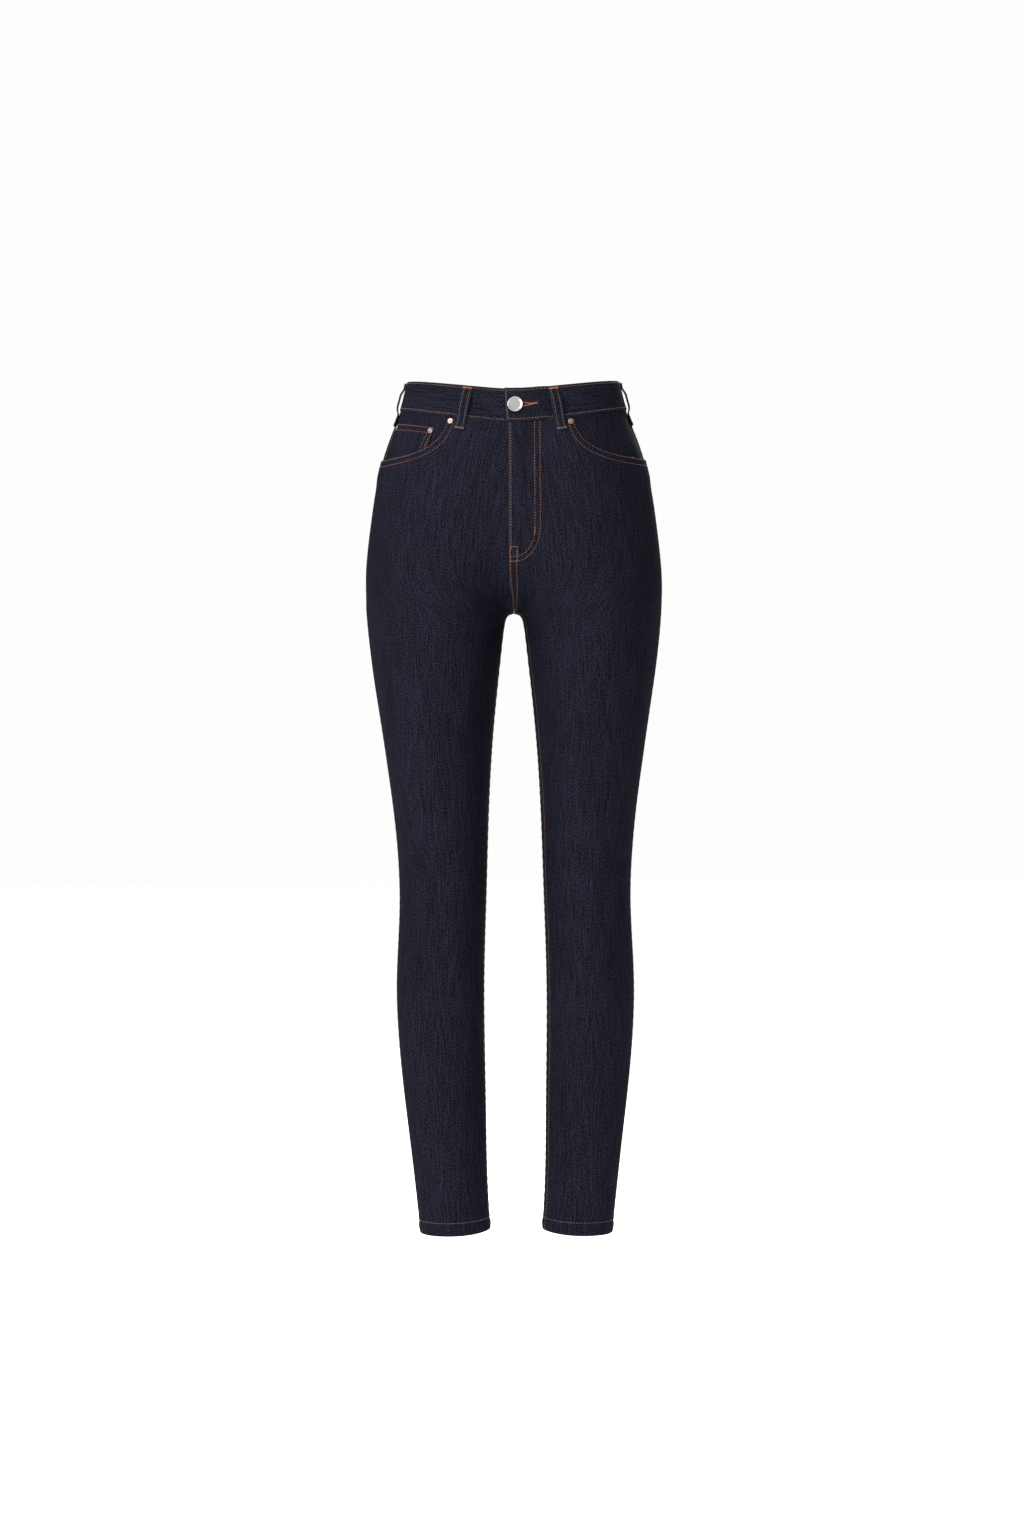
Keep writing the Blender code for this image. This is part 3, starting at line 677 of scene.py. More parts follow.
def cloth_piece(node, surface, level, wall, uv, flat, rub=(MM, 0), worn=0, mirror=False, held="hung",
                rests_on=("waistband",), area=None):
    """A closed shell with round edges on a grid of surface points, in the place of its solid. uv is its place
    on the flat cloth, and flat the size that it was cut to, which is not used. rub is the width and the
    amount of the wear that fades from its edges inwards, and worn is wear elsewhere."""
    rim_away = from_rim(surface[0])
    lip = np.clip(1 - rim_away / (0.9 * MM), 0, 1)
    tuck = 0.42 * wall * (1 - np.sqrt(1 - lip**2))
    faces_out, faces_in = (raised(surface, at)[0] for at in (level - tuck, level - wall + tuck))
    vertices = np.concatenate([faces_out.reshape(-1, 3), faces_in.reshape(-1, 3)])
    if mirror:
        vertices = vertices * (-1, 1, 1)
    count = rim_away.size
    index = np.arange(count).reshape(rim_away.shape)
    quads = np.stack([index[:-1, :-1], index[:-1, 1:], index[1:, 1:], index[1:, :-1]], -1).reshape(-1, 4)
    rim = np.concatenate([index[0], index[1:, -1], index[-1, -2::-1], index[-2::-1, 0]])
    sides = np.stack([rim[1:], rim[:-1], rim[:-1] + count, rim[1:] + count], -1)
    faces = np.concatenate([quads, quads[:, ::-1] + count, sides])
    corners = vertices[faces]
    fans = np.cross(corners[:, 1], corners[:, 2]) + np.cross(corners[:, 2], corners[:, 3])
    if (corners[:, 0] * fans).sum() < 0:
        faces = faces[:, ::-1]
    obj = new_mesh(node, vertices, faces.tolist(), (denim(), denim_reverse()))
    mesh = obj.data
    inside = np.zeros(len(faces), int)
    inside[len(quads) : 2 * len(quads)] = 1
    mesh.polygons.foreach_set("material_index", inside)
    layer = mesh.uv_layers.new(name="cloth")
    places = np.tile(np.stack(uv, -1).reshape(-1, 2), (2, 1))
    layer.data.foreach_set("uv", places[faces.ravel()].astype(np.float32).ravel())
    rubbed = np.maximum(worn, rub[1] * np.exp(-rim_away / rub[0]))
    attribute = mesh.attributes.new("worn", "FLOAT", "POINT")
    attribute.data.foreach_set("value", np.tile(rubbed.ravel(), 2).astype(np.float32))
    mesh.update()
    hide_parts(node)
    list(rests_on)


def piece_over(node, side, mirror, u, r, level, wall, flat, **more):
    """A cloth piece that follows the front or back."""
    uv = ((u - 0.5) * length(side, r), -down(r))
    cloth_piece(node, base(side, u, r), level, wall, uv, flat, mirror=mirror, **more)


def leg_panel(node, side, mirror):
    """One front or back, from the waist or yoke to the hem."""
    step = bpy.context.scene.jeans_cloth.mesh_step
    if side == "front":
        relax = 4.5
        start = SCOOP_STARTS[mirror]
        inner = shares(start * length("front", 2), step)
        inner = inner[:-3] * start / inner[-4]
        wide = length("front", 3)
        outer_count = int((1 - start) * wide / step)
        outer = start + (1 - start) * (np.arange(1, outer_count + 1) / outer_count) ** 1.6
        close = 1 - np.array([0.55, 0.2, 0]) * MM / wide
        fractions = np.concatenate([inner, outer[outer < close[0] - 0.004], close])
        first = top_row(fractions, start)
    else:
        relax = 5.0
        fractions = shares(length("back", 6), step)
        first = yoke_row(fractions) + YOKE_GAP_ROWS
    # The mesh's rows bend from the top edge's shape to level ones at the row relax
    high = shares(down(relax) - down(1.5), step)[:-3, None]
    upper = first + (relax - first) * high / high[-1]
    low_run = down(HEM) - down(relax)
    lower = row_at(down(relax) + shares(low_run, step)[4:] * low_run)
    r = np.concatenate([upper, np.repeat(lower[:, None], len(fractions), 1)])
    run = length(side, r)
    worn = 0.5 * np.exp(-(down(HEM) - down(r)) / (1.2 * MM))
    low = 0 * run
    if side == "front":
        lapped = 1 - smooth((r - CROTCH + 1.8) / 0.8)
        low = -(LAP_UNDER if mirror else LAP_OVER) * lapped / run
    u = low + (1 - low) * fractions
    if side == "front":
        along_fly = np.exp(-(u - low) * run / (1.3 * MM)) * smooth((7.6 - r) / 0.6)
        worn = np.maximum(worn, along_fly * (0.2 if mirror else 1.0))
        high = r < 3
        scooped = 0.8 * np.exp(-from_scoop(u[high], r[high], mirror) / (1.4 * MM))
        worn[high] = np.maximum(worn[high], scooped)
    area = float(np.trapz(run[:, 0], down(r[:, 0])))
    flat = (float(run[:, 0].max()), float(down(HEM) - down(r[:, 0].min())))
    piece_over(
        node, side, mirror, u, r, panel_level(side, mirror, u, r), hem_shape(r)[1], flat,
        rub=(1.1 * MM, 0.16), worn=worn, area=min(area, flat[0] * flat[1]),
    )


def plug(node, inputs):
    """Gives each of a node's sockets a value, or links another node's output to it."""
    for name, value in inputs.items():
        if isinstance(value, bpy.types.NodeSocket):
            node.id_data.links.new(value, node.inputs[name])
        else:
            node.inputs[name].default_value = value


def add(tree, kind, inputs=None, output=0, **settings):
    """Adds a node with its settings and links, and returns one of its outputs."""
    made = tree.nodes.new("ShaderNode" + kind)
    for name, value in settings.items():
        setattr(made, name, value)
    plug(made, inputs or {})
    return made.outputs[output]


def material(name, colour, roughness, more=None):
    """A new material with its shader's plain values, its node tree and its shader."""
    made = bpy.data.materials.new(name)
    made.use_nodes = True
    shader = made.node_tree.nodes["Principled BSDF"]
    plug(shader, {"Base Color": (*colour, 1), "Roughness": roughness, **(more or {})})
    return made, made.node_tree, shader


def denim():
    """Raw indigo stretch denim: a dyed warp over a pale weft in a right-hand twill. The eye sees a near-black
    blue with fine paler streaks along the warp, where yarns are thick, and paler rubbed edges."""
    name = "raw indigo stretch denim, woven"
    if name in bpy.data.materials:
        return bpy.data.materials[name]
    cloth = bpy.context.scene.jeans_cloth
    made, tree, shader = material(name, cloth.indigo, 0.82, {"Specular IOR Level": 0.05})
    place = add(tree, "UVMap", uv_map="cloth")
    # Each yarn has its thick places at heights of its own, so that they don't stand in rows across the cloth
    yarns = add(tree, "Mapping", {"Vector": place, "Scale": (430, 0, 1)})
    yarn = add(tree, "TexNoise", {"Vector": yarns, "Scale": 1.0, "Detail": 1.0}, noise_dimensions="2D")
    lift = add(tree, "Math", {0: yarn, 1: 0.14}, operation="MULTIPLY")
    lifted = add(tree, "CombineXYZ", {"Y": lift})
    spread = add(tree, "VectorMath", {0: place, 1: lifted}, operation="ADD")
    # Yarns are 0.45 mm apart. Drawn 1.3 mm wide and 30 mm long, their thick places show at a step away.
    streaks = add(tree, "Mapping", {"Vector": spread, "Scale": (760, 34, 1)})
    # Single floats of the pale weft, 1.5 mm wide and 1.7 mm long as drawn
    specks = add(tree, "Mapping", {"Vector": place, "Scale": (680, 600, 1)})
    # Uneven dye in bands 40 mm across and 160 mm long
    clouds = add(tree, "Mapping", {"Vector": place, "Scale": (26, 6, 1)})
    streak, speck, cloud = (
        add(
            tree, "TexNoise", {"Vector": mapped, "Scale": 1.0, "Detail": detail, "Roughness": rough},
            noise_dimensions="2D",
        )
        for mapped, detail, rough in ((streaks, 3.0, 0.6), (specks, 2.0, 0.7), (clouds, 2.0, 0.5))
    )
    # Twill lines rise to the right, one every 1 mm as drawn, 0.6 mm on the cloth
    slope = add(tree, "Mapping", {"Vector": place, "Rotation": (0, 0, math.radians(-58))})
    twill = add(
        tree, "TexWave",
        {"Vector": slope, "Scale": WAVE / MM, "Distortion": 1.2, "Detail": 1.0, "Detail Scale": 2.0}, 1,
        wave_type="BANDS", bands_direction="Y",
    )
    both = add(tree, "Math", {0: streak, 1: 0.6, 2: speck}, operation="MULTIPLY_ADD")
    lit = add(tree, "MapRange", {"Value": both, "From Min": 0.71, "From Max": 1.01, "To Max": 1.6})
    lines = add(tree, "Math", {0: twill, 1: 0.22, 2: 0.78}, operation="MULTIPLY_ADD")
    amount = add(tree, "Math", {0: lit, 1: lines}, operation="MULTIPLY")
    dyed = add(
        tree, "Mix", {"Factor": amount, 6: (*cloth.indigo, 1), 7: (*cloth.slub, 1)}, 2, data_type="RGBA"
    )
    shade = add(
        tree, "MapRange", {"Value": cloud, "From Min": 0.3, "From Max": 0.7, "To Min": 0.9, "To Max": 1.1}
    )
    clouded = add(tree, "VectorMath", {0: dyed, "Scale": shade}, operation="SCALE")
    rubbed = add(tree, "Attribute", output="Fac", attribute_name="worn")
    patchy = add(tree, "Math", {0: rubbed, 1: speck}, operation="MULTIPLY")
    wear = add(tree, "MapRange", {"Value": patchy, "From Min": 0.08, "From Max": 0.62, "To Max": 0.75})
    colour = add(tree, "Mix", {"Factor": wear, 6: clouded, 7: (*cloth.worn, 1)}, 2, data_type="RGBA")
    height = add(tree, "Math", {0: twill, 1: 0.5, 2: both}, operation="MULTIPLY_ADD")
    bump = add(tree, "Bump", {"Strength": 0.5, "Distance": 0.12 * MM, "Height": height})
    plug(shader, {"Base Color": colour, "Normal": bump})
    return made


def denim_reverse():
    """The wrong side of the twill: mostly pale weft, with the indigo warp in between as a blue-grey haze."""
    name = "raw indigo stretch denim, wrong side"
    if name in bpy.data.materials:
        return bpy.data.materials[name]
    cloth = bpy.context.scene.jeans_cloth
    made, tree, shader = material(name, cloth.reverse, 0.9, {"Specular IOR Level": 0.15})
    place = add(tree, "UVMap", uv_map="cloth")
    # Twill lines 1 mm apart as drawn, and weft floats 1.1 mm wide and 2 mm long
    slope = add(tree, "Mapping", {"Vector": place, "Rotation": (0, 0, math.radians(58))})
    twill = add(
        tree, "TexWave", {"Vector": slope, "Scale": WAVE / MM, "Distortion": 1.5}, 1,
        wave_type="BANDS", bands_direction="Y",
    )
    specks = add(tree, "Mapping", {"Vector": place, "Scale": (900, 500, 1)})
    speck = add(tree, "TexNoise", {"Vector": specks, "Scale": 1.0, "Detail": 3.0}, noise_dimensions="2D")
    factor = add(tree, "Math", {0: twill, 1: speck}, operation="MULTIPLY")
    colour = add(
        tree, "Mix", {"Factor": factor, 6: (*cloth.reverse, 1), 7: (*cloth.slub, 1)}, 2, data_type="RGBA"
    )
    bump = add(tree, "Bump", {"Strength": 0.4, "Distance": 0.12 * MM, "Height": twill})
    plug(shader, {"Base Color": colour, "Normal": bump})
    return made


def thread(kind):
    """Spun polyester topstitching thread, twisted from plies: soft gloss, its colour uneven from rubbing."""
    settings = bpy.context.scene.jeans_thread
    name, colour, other = {
        "tan": ("tan polyester topstitching thread", settings.tan, "8A5A38"),
        "orange": ("orange polyester buttonhole thread", settings.orange, "9C5624"),
        "grey": ("tan thread rubbed grey", linear("62534A"), "70594B"),
    }[kind]
    if name in bpy.data.materials:
        return bpy.data.materials[name]
    made, tree, shader = material(name, colour, 0.55, {"Sheen Weight": 0.15})
    place = add(tree, "TexCoord", output="Object")
    # Rubbed and clean stretches follow each other every 15 mm or so
    stretch = add(tree, "TexNoise", {"Vector": place, "Scale": 70.0, "Detail": 2.0})
    shade = add(tree, "MapRange", {"Value": stretch, "From Min": 0.38, "From Max": 0.64})
    mixed = add(
        tree, "Mix", {"Factor": shade, 6: (*colour, 1), 7: (*linear(other), 1)}, 2, data_type="RGBA"
    )
    # Plies 0.35 mm apart. Diagonal lines of a Wave Texture lie twice as far apart as straight ones.
    ply = add(
        tree, "TexWave", {"Vector": place, "Scale": 2 * WAVE / (0.35 * MM)}, 1,
        wave_type="BANDS", bands_direction="DIAGONAL",
    )
    bump = add(tree, "Bump", {"Strength": 0.4, "Distance": 0.08 * MM, "Height": ply})
    plug(shader, {"Base Color": mixed, "Normal": bump})
    return made


def new_form(name, primitive, **shape):
    """Adds a primitive with all else deselected, and puts its place and turn in its mesh."""
    bpy.ops.object.select_all(action="DESELECT")
    primitive(**shape)
    obj = bpy.context.active_object
    obj.name = obj.data.name = name
    bpy.ops.object.transform_apply()
    return obj


def stitch_form():
    """One topstitch, 1 long, 1 wide and 1 high: a round bar of thread whose ends dive into the cloth."""
    obj = new_form(
        "stitch_form", bpy.ops.mesh.primitive_uv_sphere_add,
        segments=8, ring_count=5, radius=0.5, rotation=(0, math.pi / 2, 0),
    )
    vertices = np.empty(len(obj.data.vertices) * 3)
    obj.data.vertices.foreach_get("co", vertices)
    vertices = vertices.reshape(-1, 3)
    faces = [list(face.vertices) for face in obj.data.polygons]
    vertices[:, 0] = np.sign(vertices[:, 0]) * np.abs(vertices[:, 0] * 2) ** 0.75 / 2
    bpy.data.objects.remove(obj, do_unlink=True)
    return vertices, faces


def evenly(points, normals, pitch):
    """A row's points, normals and directions at an even pitch."""
    run = run_along(points)
    count = max(int(round(run[-1] / pitch)), 1)
    at = (np.arange(count) + 0.5) * run[-1] / count
    reach = 0.4 * pitch
    before, after = (read_at(points, run, np.clip(at + way, 0, run[-1])) for way in (-reach, reach))
    ahead = after - before
    ahead /= np.linalg.norm(ahead, axis=1, keepdims=True)
    out = read_at(normals, run, at)
    out -= ahead * (out * ahead).sum(1, keepdims=True)
    out /= np.linalg.norm(out, axis=1, keepdims=True)
    return read_at(points, run, at), out, ahead


def sewn(name, rows, kind, across=False, pitch=None, size=None):
    """Stitches along rows of points and normals. across lays them across the row, as the threads of a bar."""
    settings = bpy.context.scene.jeans_thread
    pitch = pitch or settings.stitch
    long, wide, high = size or (0.68 * pitch, settings.thickness, 0.8 * settings.thickness)
    form, faces = stitch_form()
    vertices, polygons = [], []
    for points, normals in rows:
        at, out, ahead = evenly(points, normals, pitch)
        aside = np.cross(out, ahead)
        if across:
            ahead, aside = aside, -ahead
        for k in range(len(at)):
            tilt = 0.06 * math.sin(2.3 * k)
            forward = ahead[k] + tilt * aside[k]
            local = form[:, :1] * long * forward + form[:, 1:2] * wide * aside[k]
            local = local + (form[:, 2:] * high + 0.12 * high) * out[k]
            polygons += [[v + len(vertices) * len(form) for v in face] for face in faces]
            vertices.append(at[k] + local)
    new_mesh(name, np.concatenate(vertices), polygons, [thread(kind)])


def on_panel(side, mirror, u, r, extra=0.0):
    """Points and normals of a sewn row lying on a leg panel."""
    u, r = together(u, r)
    return over(side, mirror, u, r, panel_level(side, mirror, u, r) + extra)


def offset_row(side, u, r, distance):
    """A row moved sideways over the flat panel by this distance, to its left as it runs."""
    x, z = u * length(side, r), down(r)
    dx, dz = np.gradient(x), np.gradient(z)
    run = np.hypot(dx, dz)
    x, z = x - dz / run * distance, z + dx / run * distance
    moved = row_at(z)
    return x / length(side, moved), moved


def band_rise(s):
    """How far the waistband's left end stands out over its right end."""
    rise = OVERLAP_RISE * (1 - smooth((s * BAND_RUN - UNDERLAP - 2 * MM) / (14 * MM)))
    return np.where(s < 2, rise, 0.0)


def band_level(s, r):
    """Level of the waistband's outer face over the body, with its crown and its puckers."""
    x = s * BAND_RUN
    t = r / BAND_END_ROW
    crown = BAND_CROWN * np.sin(math.pi * np.clip(t, 0, 1))
    slant = 0.012 * np.sin(x / 0.05)
    pull = np.sin(2 * math.pi * (x + slant * t) / BAND_PUCKER_LENGTH + 1.5 * np.sin(x / 0.04))
    near_seams = np.exp(-(((t - 0.95) / 0.22) ** 2)) + 0.8 * np.exp(-(((t - 0.06) / 0.2) ** 2))
    puckers = 0.8 * bpy.context.scene.jeans_cloth.pucker_depth * pull * near_seams
    return BAND_OUT + band_rise(s) + crown + puckers


def band_row(s, r):
    return raised(ring(s, r), band_level(s, r))


def band_end(t):
    """Distance of the waistband's left end from the centre front, from its top at 0 to its foot at 1."""
    return OVERLAP_EDGE_TOP + (OVERLAP_EDGE_LOW - OVERLAP_EDGE_TOP) * t


def loops():
    """Name, place round the waist and stand-off of each belt loop."""
    run = length("front", 0)
    return (
        ("belt_loop_front_left", (LOOP_FRONT_TOP - FRONT_SHIFT) / run, LOOP_STAND_FRONT),
        ("belt_loop_front_right", 4 - (LOOP_FRONT_TOP + FRONT_SHIFT) / run, LOOP_STAND_FRONT),
        ("belt_loop_side_left", 1.0, LOOP_STAND_SIDE),
        ("belt_loop_side_right", 3.0, LOOP_STAND_SIDE),
        ("belt_loop_back", 2.0, LOOP_STAND_FRONT),
    )


def loop_surface(s_top, stand, across, along):
    """Surface, level and rows of a belt loop. across runs from -0.5 to 0.5 and along from top to bottom."""
    side = "back" if 1.5 < s_top < 2.5 else "front"
    u_top = abs(2 - s_top) if side == "back" else min(abs(s_top), abs(4 - s_top), 1)
    r = row_below(side, u_top, 0.04, LOOP_LENGTH * along)
    lean = LOOP_LEAN * (along - 0.5) * (0 if abs(s_top - round(s_top)) < 1e-6 else 1 if s_top < 2 else -1)
    s = s_top + (across * LOOP_WIDTH + lean) / length(side, r)
    points, normals = ring(s, r)
    on_band = 1 - smooth((r - 0.98) / 0.12)
    u = np.minimum(s, 4 - s)
    on_front = front_rise(np.clip(u, 0, 1), np.maximum(r, 1), s_top > 2) * smooth((r - 0.8) / 0.2)
    under = np.where(u <= 1, on_front, 0.0)
    seat = np.maximum((BAND_OUT + band_rise(s) + BAND_CROWN) * on_band, under) + LOOP_GAP
    free = smooth((along - 0.1) / 0.2) * smooth((0.76 - along) / 0.24)
    crown = 0.45 * MM * (1 - (2 * across) ** 2)
    return (points, normals), seat + stand * free + LOOP_WALL + crown


def yoke_row(u):
    return YOKE_CENTRE_ROW + (YOKE_SIDE_ROW - YOKE_CENTRE_ROW) * u


def patch_place(across, descent):
    """Share and row of a back pocket's point: across from -1 to 1, descent from 0 at its top to 1."""
    middle = PATCH_CENTRE / length("back", 3)
    u_top = middle + across * PATCH_TOP_WIDTH / 2 / length("back", 3)
    width = PATCH_TOP_WIDTH + (PATCH_LOW_WIDTH - PATCH_TOP_WIDTH) * descent
    r = np.empty(u_top.shape)
    for place in np.ndindex(u_top.shape):
        top = row_below("back", u_top[place], yoke_row(u_top[place]), PATCH_BELOW_YOKE)
        height = PATCH_SIDE_HEIGHT + (PATCH_POINT_HEIGHT - PATCH_SIDE_HEIGHT) * (1 - abs(across[place]))
        r[place] = row_below("back", u_top[place], float(top), height * descent[place])
    return PATCH_CENTRE / length("back", r) + across * width / 2 / length("back", r), r


def coin_edges():
    """Length of the body's row at the coin pocket's top, and the shares of it where the pocket lies."""
    run = float(length("front", COIN_TOP_ROW))
    return run, share_at("front", COIN_INNER, COIN_TOP_ROW), 1 - COIN_SIDE_MARGIN / run


def fly_row(width, straight, fall, start, end):
    """x and z of a row on the fly, from sizes in millimetres: straight down, then round to the front edge."""
    angle = np.linspace(0, math.pi / 2, 40)[1:]
    tail = np.linspace(0, end, 6)[1:]
    foot = -straight - fall * np.sin(angle) ** (2 / 2.2)
    x = np.concatenate([np.full(30, width), width * np.cos(angle) ** (2 / 2.2), tail])
    z = np.concatenate([np.linspace(start, -straight, 30), foot, foot[-1] + tail * 0.16])
    return x * MM, z * MM


def on_fly(x, z, extra=0.0):
    """Points and normals of a row on the left front that lies at these x and z."""
    points = GRIDS["front"][0][..., [0, 2]]
    near = points[ROWS < 10, : COLUMNS_DENSE // 2]
    u, r = np.empty(len(x)), np.empty(len(x))
    for k, place in enumerate(columns(np.abs(x), z)):
        away = ((near - place) ** 2).sum(-1)
        j, i = (max(at, 1) for at in np.unravel_index(np.argmin(away), away.shape))
        right = (points[j, i + 1] - points[j, i - 1]) / 2
        below = (points[j + 1, i] - points[j - 1, i]) / 2
        di, dj = np.linalg.solve(np.stack([right, below], 1), place - points[j, i])
        u[k] = (i + di) / (COLUMNS_DENSE - 1) * (1 if x[k] >= 0 else -1)
        r[k] = ROWS[j] + dj * (ROWS[1] - ROWS[0])
    return on_panel("front", False, u, r, extra)


def on_patch(mirror, across, descent):
    """Points and normals of a row on a back pocket."""
    return on_panel("back", mirror, *patch_place(across, descent), PATCH_GAP + PATCH_WALL)


class JEANS_OT_legs(Operator):
    """The two fronts and the two backs, with their creases"""

    bl_idname = "jeans.legs"
    bl_label = "Fronts and backs"

    def execute(self, context):
        for side in SIDES:
            for mirror, hand in HANDS.items():
                leg_panel(f"{side}_{hand}", side, mirror)
        return {"FINISHED"}


class JEANS_OT_yokes(Operator):
    """The two halves of the back yoke"""

    bl_idname = "jeans.yokes"
    bl_label = "Back yoke"

    def execute(self, context):
        step = context.scene.jeans_cloth.mesh_step
        across = shares(length("back", 2), step)
        drop = shares(down(2.5) - down(1), step)[:, None]
        top = 1 - TUCKED_ROWS
        r = top + (yoke_row(across) - top) * drop
        u = across + 0 * r
        wide, high = float(length("back", r).max()), down(YOKE_CENTRE_ROW) - down(1)
        for mirror, hand in HANDS.items():
            piece_over(
                f"yoke_{hand}", "back", mirror, u, r, relief("back", mirror, u, r), WALL, (wide, high),
                rub=(1.1 * MM, 0.5), area=0.82 * wide * high,
            )
        return {"FINISHED"}


class JEANS_OT_front_pockets(Operator):
    """The pocket facings in the scoops and the coin pocket on the right one"""

    bl_idname = "jeans.front_pockets"
    bl_label = "Front pockets"

    def facing(self, node, mirror, step):
        start = SCOOP_STARTS[mirror]
        first = start - FACING_INSIDE / length("front", 1)
        across = first + (1 - first) * shares((1 - first) * length("front", 1.5), step)
        drop = shares(down(2.5) - down(1), step)[:, None]
        top = 1 - TUCKED_ROWS
        r = top + (top_row(across, start) + FACING_PAST_EDGE - top) * drop
        u = across + 0 * r
        # Its top edge goes up into the waistband, and its outer edge meets the back's at the side seam
        tuck = np.maximum(1 - smooth((r - 1) / 0.2), 0.9 * smooth((u - 0.96) / 0.035))
        wide = (1 - first) * float(length("front", 2))
        high = float(down(1 + SCOOP_ROWS + FACING_PAST_EDGE) - down(1))
        level = FACING_OUT + FACING_TUCK * tuck
        piece_over(node, "front", mirror, u, r, level, FACING_WALL, (wide, high), area=0.85 * wide * high)

    def coin_pocket(self, step):
        run, first, last = coin_edges()
        across = shares((last - first) * run, step)
        drop = shares(26 * MM, step)[:, None]
        inner = first + COIN_TAPER / run * drop
        u = inner + (last - inner) * across
        r = COIN_TOP_ROW + (top_row(u, SCOOP_STARTS[True]) + COIN_PAST_EDGE - COIN_TOP_ROW) * drop
        wide, high = (last - first) * run, float(down(r.max()) - down(COIN_TOP_ROW))
        piece_over(
            "coin_pocket", "front", True, u, r, COIN_OUT, COIN_WALL, (wide, high),
            rub=(1.0 * MM, 0.9), rests_on=["pocket_facing_right"], area=0.8 * wide * high,
        )

    def execute(self, context):
        step = context.scene.jeans_cloth.mesh_step
        for mirror, hand in HANDS.items():
            self.facing(f"pocket_facing_{hand}", mirror, step)
        self.coin_pocket(0.7 * step)
        return {"FINISHED"}


class JEANS_OT_back_pockets(Operator):
    """The two patch pockets on the seat"""

    bl_idname = "jeans.back_pockets"
    bl_label = "Back pockets"

    def execute(self, context):
        step = context.scene.jeans_cloth.mesh_step
        across = 2 * shares(PATCH_TOP_WIDTH, step) - 1
        u, r = patch_place(*np.meshgrid(across, shares(PATCH_POINT_HEIGHT, step)))
        for mirror, hand in HANDS.items():
            piece_over(
                f"back_pocket_{hand}", "back", mirror, u, r,
                PATCH_GAP + PATCH_WALL + relief("back", mirror, u, r), PATCH_WALL,
                (PATCH_TOP_WIDTH, PATCH_POINT_HEIGHT), rub=(1.2 * MM, 0.6), held="laid",
                rests_on=[f"back_{hand}"], area=0.82 * PATCH_TOP_WIDTH * PATCH_POINT_HEIGHT,
            )
        return {"FINISHED"}


class JEANS_OT_waistband(Operator):
    """The waistband, lapped left over right"""

    bl_idname = "jeans.waistband"
    bl_label = "Waistband"

    def execute(self, context):
        step = context.scene.jeans_cloth.mesh_step
        t = shares(BAND_HEIGHT, step * 0.8)[:, None]
        across = shares(4 * BAND_RUN + UNDERLAP - OVERLAP_EDGE_TOP, step)
        first, last = band_end(t) / BAND_RUN, 4 + UNDERLAP / BAND_RUN
        s = first + (last - first) * across
        r = BAND_END_ROW * t + 0 * s
        around = sum(float(length(side, 0.5)) * 2 for side in SIDES)
        cloth_piece(
            "waistband", ring(s, r), band_level(s, r), BAND_WALL, (-down(r), s * BAND_RUN),
            (BAND_HEIGHT, around + UNDERLAP - OVERLAP_EDGE_TOP), rub=(1.3 * MM, 0.6),
            worn=np.exp(-(s - first) * BAND_RUN / (1.4 * MM)), held="stretched",
            rests_on=["front_left", "front_right", "yoke_left"],
        )
        return {"FINISHED"}


class JEANS_OT_belt_loops(Operator):
    """The five belt loops, with their two rows of stitches"""

    bl_idname = "jeans.belt_loops"
    bl_label = "Belt loops"

    def execute(self, context):
        across, along = np.broadcast_arrays(
            shares(LOOP_WIDTH, 1.2 * MM)[None, :] - 0.5, shares(LOOP_LENGTH, 1.4 * MM)[:, None]
        )
        path, wide = np.linspace(0.035, 0.95, 50), np.linspace(-0.46, 0.46, 20)
        rows, tops, ends = [], [], []
        for name, s_top, stand in loops():
            cloth_piece(
                name, *loop_surface(s_top, stand, across, along), LOOP_WALL,
                (across * LOOP_WIDTH, -along * LOOP_LENGTH), (LOOP_WIDTH, LOOP_LENGTH), rub=(1.1 * MM, 0.6),
            )
            rows += [raised(*loop_surface(s_top, stand, np.full(50, at), path)) for at in (-0.28, 0.28)]
            for bars, end in ((tops, 0.04), (ends, 0.955)):
                bars.append(raised(*loop_surface(s_top, stand, wide, np.full(20, end))))
        sewn("belt_loop_stitches", rows, "grey", size=(2.8 * MM, 0.6 * MM, 0.5 * MM))
        for name, bars, kind in (("top", tops, "orange"), ("low", ends, "grey")):
            sewn(f"belt_loop_{name}_bars", bars, kind, True, BAR_PITCH, (1.9 * MM, 0.6 * MM, 0.8 * MM))
        return {"FINISHED"}


